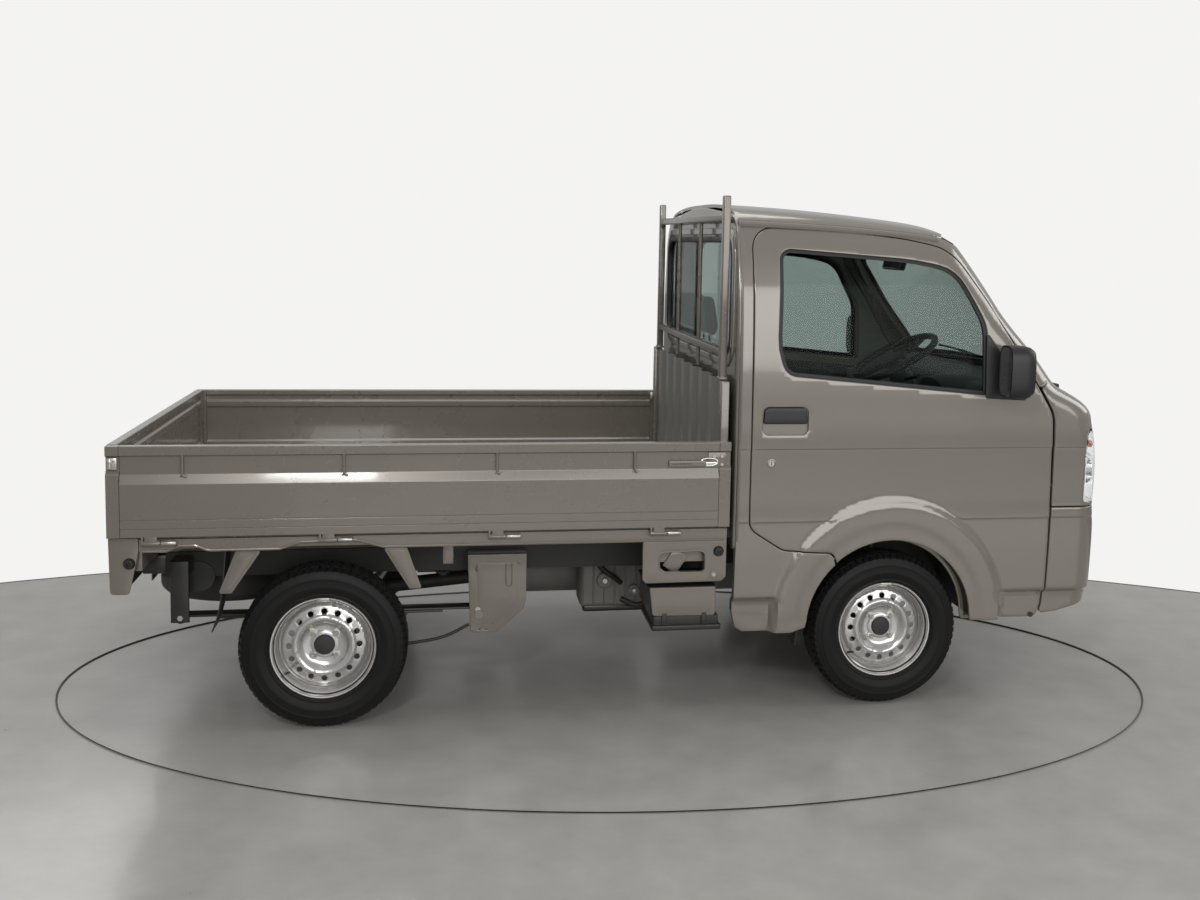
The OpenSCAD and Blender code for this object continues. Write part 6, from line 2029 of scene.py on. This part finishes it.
def drive_parts():
    x = BED_FRONT
    parts = [block("case", (x - 0.452, -0.236, 0.236), (x - 0.150, -0.090, 0.428), 0.018, 4, CAST_METAL),
             block("case_pan", (x - 0.440, -0.230, 0.216), (x - 0.172, -0.060, 0.244), 0.010, 3, SATIN_BLACK),
             block("case_top", (x - 0.400, -0.215, 0.420), (x - 0.230, -0.100, 0.452), 0.010, 3, CAST_METAL),
             block("air_box", (x - 0.150, -0.345, 0.330), (x - 0.020, -0.180, 0.520), 0.012, 3, BLACK_PLASTIC,
                   turn=Matrix.Rotation(math.radians(-24), 3, "Y")),
             block("air_duct", (x - 0.290, -0.320, 0.430), (x - 0.130, -0.240, 0.485), 0.014, 3,
                   BLACK_PLASTIC, turn=Matrix.Rotation(math.radians(-14), 3, "Y"))]
    rib = block("case_rib", (x - 0.444, -0.2405, 0.250), (x - 0.438, -0.232, 0.416), 0.002, 1, CAST_METAL)
    parts.append(repeated(rib, "case_ribs", 8, CAST_METAL, step=(0.040, 0, 0)))
    for dx, dz, r in ((-0.36, 0.34, 0.030), (-0.25, 0.30, 0.022), (-0.20, 0.37, 0.018)):
        parts.append(lathe("case_boss", disc_profile(r, 0.014, 0.003), (x + dx, -0.234, dz), axis="-Y",
                           steps=28, material=CAST_METAL))
        parts.append(lathe("case_nut", disc_profile(r * 0.4, 0.022, 0.002), (x + dx, -0.234, dz), axis="-Y",
                           steps=6, material=ZINC))
    hoses = [[(-0.46, -0.15, 0.47), (-0.42, -0.26, 0.44), (-0.36, -0.28, 0.46), (-0.30, -0.26, 0.42),
              (-0.22, -0.27, 0.44)],
             [(-0.44, -0.20, 0.50), (-0.38, -0.27, 0.40), (-0.33, -0.27, 0.36), (-0.30, -0.24, 0.33)],
             [(-0.20, -0.25, 0.26), (-0.14, -0.28, 0.30), (-0.10, -0.27, 0.36), (-0.12, -0.24, 0.44)],
             [(-0.30, -0.25, 0.27), (-0.24, -0.27, 0.25), (-0.18, -0.26, 0.27), (-0.12, -0.25, 0.25)]]
    for k, line in enumerate(hoses):
        parts.append(tube("hose", [(x + a, b, c) for a, b, c in line], 0.008 + 0.002 * (k % 2), 12,
                          SEAL_RUBBER))
    clip = [(x - 0.215, -0.272, 0.452), (x - 0.200, -0.262, 0.470)]
    parts.append(tube("hose_clip", clip, 0.0125, 14, ZINC, per_span=1))
    for x0, x1, z in ((BED_REAR + 0.17, BED_REAR + 0.36, 0.47), (REAR_X + 0.34, REAR_X + 0.42, 0.44)):
        parts.append(tube("under_pipe", [(x0, -0.33, z), ((x0 + x1) / 2, -0.35, z - 0.03), (x1, -0.33, z)],
                          0.010, 10, SEAL_RUBBER))
    parts.append(lathe("canister", disc_profile(0.052, 0.105, 0.012), (BED_REAR + 0.215, -0.420, 0.440),
                       steps=40, material=BLACK_PLASTIC))
    return parts


battery = join("battery_set", battery_parts())
piece(battery, SATIN_BLACK, "root", ["battery_box"])
piece(join("drive_line", drive_parts()), CAST_METAL, "root")

# %% [markdown]
# ## In the cab
# The dashboard is one soft moulding with a hood over the instruments. The wheel is turned from its
# section and set on the tilted column.

# %% Dashboard, steering wheel and controls
def dashboard_parts():
    x = CAB_NOSE
    section = rounded([(x - 0.545, 0.900, 0.03), (x - 0.535, 1.000, 0.03), (x - 0.500, 1.075, 0.04),
                       (x - 0.430, 1.112, 0.04), (x - 0.300, 1.1275, 0.05), (x - 0.165, 1.128, 0.006),
                       (x - 0.165, 1.090, 0.02), (x - 0.220, 1.040, 0.03), (x - 0.300, 0.905, 0.03),
                       (x - 0.400, 0.864, 0.02), (x - 0.525, 0.866, 0.02)], 0.012)
    parts = [extruded("dash", section, -0.6325, 0.6325, lambda a, b, c: (a, c, b), DARK_PLASTIC)]
    hood = loft("hood", [np.stack([np.full(28, x0), -0.350 + 0.135 * np.cos(a), 1.060 + h * np.sin(a)], 1)
                         for x0,
                         h in ((x - 0.540, 0.058), (x - 0.500, 0.070), (x - 0.420, 0.073), (x - 0.360, 0.066))
                         for a in [around(28)]], DARK_PLASTIC)
    face = loft("dial_face",
                [np.stack([np.full(28, x0), -0.350 + 0.118 * np.cos(a), 1.060 + 0.048 * np.sin(a)], 1)
                              for x0 in (x - 0.5415, x - 0.538) for a in [around(28)]],
                BLACK_PLASTIC)
    parts += [hood, face]
    for y in (-0.55, -0.06, 0.06, 0.55):
        parts.append(block("vent_frame", (x - 0.556, y - 0.048, 1.005), (x - 0.520, y + 0.048, 1.058), 0.006,
                           3, BLACK_PLASTIC))
        slat = block("vent_slat", (x - 0.5585, y - 0.040, 1.012), (x - 0.552, y + 0.040, 1.015), 0.001, 1,
                     GREY_PLASTIC)
        parts.append(repeated(slat, "vent_slats", 5, GREY_PLASTIC, step=(0, 0, 0.009)))
    parts.append(block("radio", (x - 0.555, -0.090, 0.930), (x - 0.530, 0.090, 0.992), 0.004, 2,
                       BLACK_PLASTIC))
    parts.append(block("glove_box", (x - 0.556, 0.170, 0.885), (x - 0.536, 0.560, 0.985), 0.008, 3,
                       GREY_PLASTIC))
    for side in (-1, 1):
        y0, y1 = sorted((side * 0.150, side * 0.540))
        parts.append(block("visor", (x - 0.690, y0, ROOF_TOP - 0.140), (x - 0.590, y1, ROOF_TOP - 0.128),
                           0.005, 3, GREY_PLASTIC, turn=Matrix.Rotation(math.radians(24), 3, "Y")))
    for side in (-1, 1):
        parts.append(tube("grab_handle", [(x - 0.515, side * 0.645, 1.500), (x - 0.530, side * 0.612, 1.482),
                                          (x - 0.500, side * 0.604, 1.440), (x - 0.450, side * 0.604, 1.370),
                                          (x - 0.432, side * 0.616, 1.345), (x - 0.416, side * 0.652, 1.350)],
                                          0.0095, 14,
                          GREY_PLASTIC))
    return parts


HELM = Vector((CAB_NOSE - 0.695, -0.350, 1.190))
ON_COLUMN = Matrix.Translation(HELM) @ Matrix.Rotation(math.radians(-29), 4, "Y")


def helm_parts():
    rim_radius, grip_radius = 0.172, 0.0125
    ring = [(rim_radius + grip_radius * math.cos(a), grip_radius * math.sin(a)) for a in around(14)]
    parts = [lathe("helm_rim", ring, (0, 0, 0), axis="Z", steps=72, material=DARK_PLASTIC)]
    pad = loft("helm_pad", [np.stack([0.9 * r * np.cos(a) + 0.004, r * np.sin(a) * 1.12, np.full(40, h)], 1)
                            for r,
                            h in ((0.044, -0.030), (0.056, -0.020), (0.058, -0.006), (0.050, 0.004),
                                  (0.030, 0.008))
                            for a in [around(40)]], DARK_PLASTIC)
    parts.append(pad)
    for angle in (20, 160, 270):
        c = math.radians(angle)
        parts.append(tube("helm_spoke", [(0.040 * math.cos(c), 0.040 * math.sin(c), -0.010),
                                         (0.110 * math.cos(c), 0.110 * math.sin(c), -0.010),
                                         (0.166 * math.cos(c), 0.166 * math.sin(c), -0.002)], 0.0135, 14,
                                         DARK_PLASTIC, flat=0.5))
    for part in parts:
        part.data.transform(ON_COLUMN)
    return parts


def control_parts():
    x0, x1 = CAB_BACK, CAB_NOSE
    shroud = loft("shroud", [np.stack([r * 1.15 * np.cos(a), r * np.sin(a), np.full(28, h)], 1)
                             for r,
                             h in ((0.030, -0.325), (0.033, -0.250), (0.038, -0.120), (0.036, -0.060),
                                   (0.030, -0.048))
                             for a in [around(28)]], DARK_PLASTIC)
    column = tube("column", [(0, 0, -0.840), (0, 0, -0.320)], 0.0108, 16, SATIN_BLACK, per_span=1)
    stalks = [tube("stalk",
                   [(0.0, s * 0.030, -0.085), (0.012, s * 0.105, -0.075), (0.018, s * 0.150, -0.066)], 0.007,
                   12, BLACK_PLASTIC) for s in (-1, 1)]
    parts = [shroud, column] + stalks
    for part in parts:
        part.data.transform(ON_COLUMN)
    for y in (-0.480, -0.370, -0.250):
        parts.append(tube("pedal_arm",
                          [(x1 - 0.232, y, 0.859), (x1 - 0.222, y, 0.700), (x1 - 0.232, y, 0.535)], 0.0065,
                          12, SATIN_BLACK))
        parts.append(block("pedal", (x1 - 0.244, y - 0.029, 0.482), (x1 - 0.223, y + 0.029, 0.544), 0.004, 3,
                           SEAL_RUBBER))
    seat_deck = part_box("cab_floor")[1].z
    parts.append(tube("gear_lever",
                      [(x0 + 0.720, 0, seat_deck + 0.004), (x0 + 0.742, -0.012, seat_deck + 0.130),
                                     (x0 + 0.760, -0.020, seat_deck + 0.250)], 0.0065, 14, SATIN_BLACK))
    parts.append(lathe("gear_knob",
                       [(ON_AXIS, -0.021), (0.013, -0.019), (0.020, -0.008), (0.0215, 0.004), (0.017, 0.016),
                                     (0.008, 0.021), (ON_AXIS, 0.0215)],
                                     (x0 + 0.760, -0.020, seat_deck + 0.262), axis="Z",
                       steps=32, material=BLACK_PLASTIC))
    parts.append(lathe("gear_boot",
                       [(ON_AXIS, 0), (0.055, 0), (0.052, 0.010), (0.040, 0.018), (0.030, 0.032),
                        (0.020, 0.045),
                                     (0.010, 0.055), (ON_AXIS, 0.055)], (x0 + 0.722, 0, seat_deck + 0.0005),
                                     axis="Z", steps=32,
                       material=SEAL_RUBBER))
    parts.append(tube("hand_brake",
                      [(x0 + 0.500, 0.060, seat_deck + 0.012), (x0 + 0.600, 0.060, seat_deck + 0.036),
                                     (x0 + 0.720, 0.060, seat_deck + 0.060)], 0.0105, 16, BLACK_PLASTIC))
    mirror = block("inside_mirror", (-0.011, -0.110, -0.030), (0.009, 0.110, 0.030), 0.009, 4, BLACK_PLASTIC)
    glass = block("inside_glass", (-0.0118, -0.102, -0.024), (-0.0100, 0.102, 0.024), 0.0008, 1, CHROME)
    place = Matrix.Translation((x1 - 0.568, 0, ROOF_TOP - 0.208)) @ Matrix.Rotation(math.radians(15), 4, "Y")
    for part in (mirror, glass):
        part.data.transform(place)
        parts.append(part)
    parts.append(tube("mirror_stem", [(x1 - 0.550, 0, ROOF_TOP - 0.119), (x1 - 0.556, 0, ROOF_TOP - 0.150),
                                      (x1 - 0.560, 0, ROOF_TOP - 0.185)], 0.006, 12, BLACK_PLASTIC))
    parts.append(block("screen_sensor", (x1 - 0.520, -0.060, ROOF_TOP - 0.185),
                       (x1 - 0.478, 0.090, ROOF_TOP - 0.150), 0.010, 3, BLACK_PLASTIC,
                       turn=Matrix.Rotation(math.radians(52), 3, "Y")))
    return parts


piece(join("dash_set", dashboard_parts()), DARK_PLASTIC, "root", ["dashboard"])
piece(join("helm_set", helm_parts()), DARK_PLASTIC, "steering_wheel", ["steering_wheel"])
piece(join("control_set", control_parts()), DARK_PLASTIC, "root", ["cab_controls"])

# %% [markdown]
# ## Seats
# Each pad starts as a rounded block a little smaller than its place. A pressurised cloth simulation
# puffs it up, so the faces crown and the sides pull in between the corners. The move of every point
# is capped, and the passenger's pads are copies of the driver's.

# %% Cushions by cloth simulation
def puffed(obj, cap, voxel=0.006, pressure=4.0):
    rest = obj.modifiers.new("remesh", "REMESH")
    rest.mode = "VOXEL"
    rest.voxel_size = voxel
    depsgraph = bpy.context.evaluated_depsgraph_get()
    fine = bpy.data.meshes.new_from_object(obj.evaluated_get(depsgraph))
    obj.modifiers.clear()
    obj.data = fine
    start = np.array([v.co for v in fine.vertices])
    cloth = obj.modifiers.new("cloth", "CLOTH")
    cloth.settings.quality = 4
    cloth.settings.mass = 0.3
    cloth.settings.use_pressure = True
    cloth.settings.uniform_pressure_force = pressure
    cloth.settings.tension_stiffness = 12
    cloth.settings.compression_stiffness = 12
    cloth.settings.effector_weights.gravity = 0
    cloth.point_cache.frame_start, cloth.point_cache.frame_end = 1, 20
    for frame_number in range(1, 21):
        bpy.context.scene.frame_set(frame_number)
    moved_mesh = obj.evaluated_get(bpy.context.evaluated_depsgraph_get()).to_mesh()
    moved = np.array([v.co for v in moved_mesh.vertices])
    obj.modifiers.clear()
    bpy.context.scene.frame_set(1)
    step = moved - start
    length = np.maximum(np.linalg.norm(step, axis=1, keepdims=True), 1e-9)
    moved = start + step * np.minimum(1.0, cap / length)
    obj.data.vertices.foreach_set("co", moved.ravel())
    obj.data.update()
    return obj


def seat_pieces(centre_y, suffix, models):
    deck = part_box("cab_floor")[1].z
    base = Matrix.Translation((CAB_BACK, centre_y, deck))
    lean = base @ Matrix.Translation((0.240, 0, 0.125)) @ Matrix.Rotation(math.radians(-9), 4, "Y")
    for name, place, fill in (("cushion", base, 0.9), ("backrest", lean, 0.85), ("headrest", lean, 0.95)):
        pad = placed("seat_%s_%s" % (name, suffix), models[name].data.copy())
        pad.data.transform(place)
        painted(pad, SEAT_CLOTH)
        piece(pad, SEAT_CLOTH, "root", [suffix + "_seat"] if name == "cushion" else [],
              angle=math.radians(80))
    front, rear, height = 0.660 - 0.022, 0.200 + 0.022, 0.108
    ring = [(rear, -0.20), (rear, 0.20), (0.240, 0.222), (0.620, 0.222), (front, 0.20), (front, -0.20),
            (0.620, -0.222), (0.240, -0.222), (rear, -0.20)]
    piping = tube("piping", [(a, b, height) for a, b in ring], 0.003, 8, SEAL_RUBBER)
    piping.data.transform(base)
    parts = [piping]
    for y in (-0.055, 0.055):
        post = tube("rest_post", [(-0.036, y, 0.450), (-0.036, y, 0.520)], 0.0058, 14, CHROME, per_span=1)
        post.data.transform(lean)
        parts.append(post)
    slide = block("seat_base", (0.215, -0.200, 0.0010), (0.640, 0.200, 0.012), 0.004, 2, SATIN_BLACK)
    slide.data.transform(base)
    parts.append(slide)
    piece(join("seat_fittings_" + suffix, parts), SATIN_BLACK, "root")


PAD_SEGMENTS = 6
pad_models = {
    "cushion": puffed(block("cushion_model", (0.209, -0.226, 0.009), (0.651, 0.226, 0.118), 0.036,
                            PAD_SEGMENTS), 0.009),
    "backrest": puffed(block("backrest_model", (-0.070, -0.218, 0.000), (-0.002, 0.218, 0.460), 0.030,
                             PAD_SEGMENTS), 0.009),
    "headrest": puffed(block("headrest_model", (-0.056, -0.113, 0.506), (-0.014, 0.113, 0.663), 0.020,
                             PAD_SEGMENTS), 0.006)}
seat_pieces(-0.340, "driver", pad_models)
seat_pieces(0.340, "passenger", pad_models)
for model in pad_models.values():
    bpy.data.objects.remove(model)


# %% [markdown]
# ## Finishes of the pieces that keep their CAD shape
# %% CAD pieces
# The undercoat finish is black coat and painted shade in one: its extra dark colour stands for the shadow under
# the truck.
for names, material in (
        (("chassis_frame", "front_suspension", "rear_axle", "knuckle_left", "knuckle_right", "fuel_tank",
          "spare_wheel"), UNDERCOAT_WITH_SHADE),
        (("engine_block", "gearbox"), CAST_METAL), (("exhaust",), EXHAUST_STEEL),
        (("cab_floor",), FLOOR_MAT)):
    for name in names:
        mesh = nodes[name].data
        mesh.materials.clear()
        mesh.materials.append(material)
        mesh.shade_smooth()
        mesh.set_sharp_from_angle(angle=math.radians(30))

# %% [markdown]
# ## Studio
# A round stage of grey concrete with the thin dark line of a turntable, in front of plain white. The
# white is what the camera sees and what the glass lets through; the paint reflects a softer grey sky,
# so it keeps its depth. A wide soft light stands beside the camera, and a small one makes the bright
# streak along the gate.

# %% Stage, white surround and lights
STAGE_X, STAGE_Y, STAGE_R = -0.59, -4.76, 6.28


def stage_disc(name, radius, height, material, steps=160):
    ring = [(STAGE_X + radius * math.cos(a), STAGE_Y + radius * math.sin(a), height)
            for a in around(steps)]
    obj = mesh_object(name, ring, [tuple(range(steps))])
    obj.data.materials.append(material)
    return obj


def seen_white(tree, shown, hidden):
    """A strength that is high where the camera looks, also through glass, and low for every other ray."""
    path = tree.nodes.new("ShaderNodeLightPath")
    seen = math_node(tree, "ADD", path.outputs["Is Camera Ray"], path.outputs["Is Transmission Ray"],
                     clamp=True)
    return math_node(tree, "ADD", math_node(tree, "MULTIPLY", seen, shown - hidden), hidden)


def white_surround():
    material = bpy.data.materials.new("white_surround")
    material.use_nodes = True
    tree = material.node_tree
    tree.nodes.clear()
    glow = tree.nodes.new("ShaderNodeEmission")
    glow.inputs[0].default_value = (1.0, 0.995, 0.98, 1)
    tree.links.new(seen_white(tree, 0.90, 0.16), glow.inputs[1])
    result = tree.nodes.new("ShaderNodeOutputMaterial")
    tree.links.new(glow.outputs[0], result.inputs[0])
    return material


def concrete():
    return finish("polished_concrete", (0.350, 0.341, 0.323), rough=0.34, vary=0.24, dust=0.0, dust_top=0.0,
                  grain=5, bump=0.04, coat=0.1)


stage_disc("studio_floor", STAGE_R, 0.0, concrete())
stage_disc("studio_edge", STAGE_R + 0.035, -0.004, SATIN_BLACK)
stage_disc("studio_surround", 40.0, -0.012, white_surround())
OVAL = Matrix.Translation((-0.022, -0.311, 0.0)) @ Matrix.Rotation(-0.116, 4, "Z")
ring = [OVAL @ Vector((1.953 * math.cos(a), 1.127 * math.sin(a), 0.0006))
        for a in np.linspace(0, 2 * math.pi, 181)]
tube("turntable_line", ring, 0.0075, 6, SATIN_BLACK, per_span=1, flat=0.1)

world = bpy.data.worlds.new("studio_world")
bpy.context.scene.world = world
world.use_nodes = True
sky = world.node_tree
sky.nodes["Background"].inputs[0].default_value = (1.0, 0.995, 0.985, 1)
sky.links.new(seen_white(sky, 0.90, 0.42), sky.nodes["Background"].inputs[1])
bpy.context.scene.view_settings.view_transform = "Standard"
bpy.context.scene.view_settings.look = "None"
for name, place, aim, wide, tall, power in (
        ("overhead", (-0.3, 0.2, 4.8), (0, 0, 0), 4.4, 2.4, 78),
        ("beside_camera", (1.8, -7.4, 2.6), (0.2, 0, 0.9), 8.0, 3.6, 230),
        ("streak", (-1.5, -5.1, 3.45), (-1.1, -0.7, 0.8), 0.75, 0.45, 48),
        ("rear_fill", (-3.2, 4.2, 3.8), (0, 0, 0.6), 2.6, 2.6, 50),
        ("front_fill", (5.0, -0.5, 3.0), (0.8, 0, 0.8), 2.4, 2.4, 45)):
    lamp = bpy.data.lights.new(name, "AREA")
    lamp.shape = "RECTANGLE"
    lamp.energy, lamp.size, lamp.size_y = power, wide, tall
    holder = placed(name, lamp)
    holder.location = place
    holder.rotation_euler = (Vector(aim) - Vector(place)).to_track_quat("-Z", "Y").to_euler()
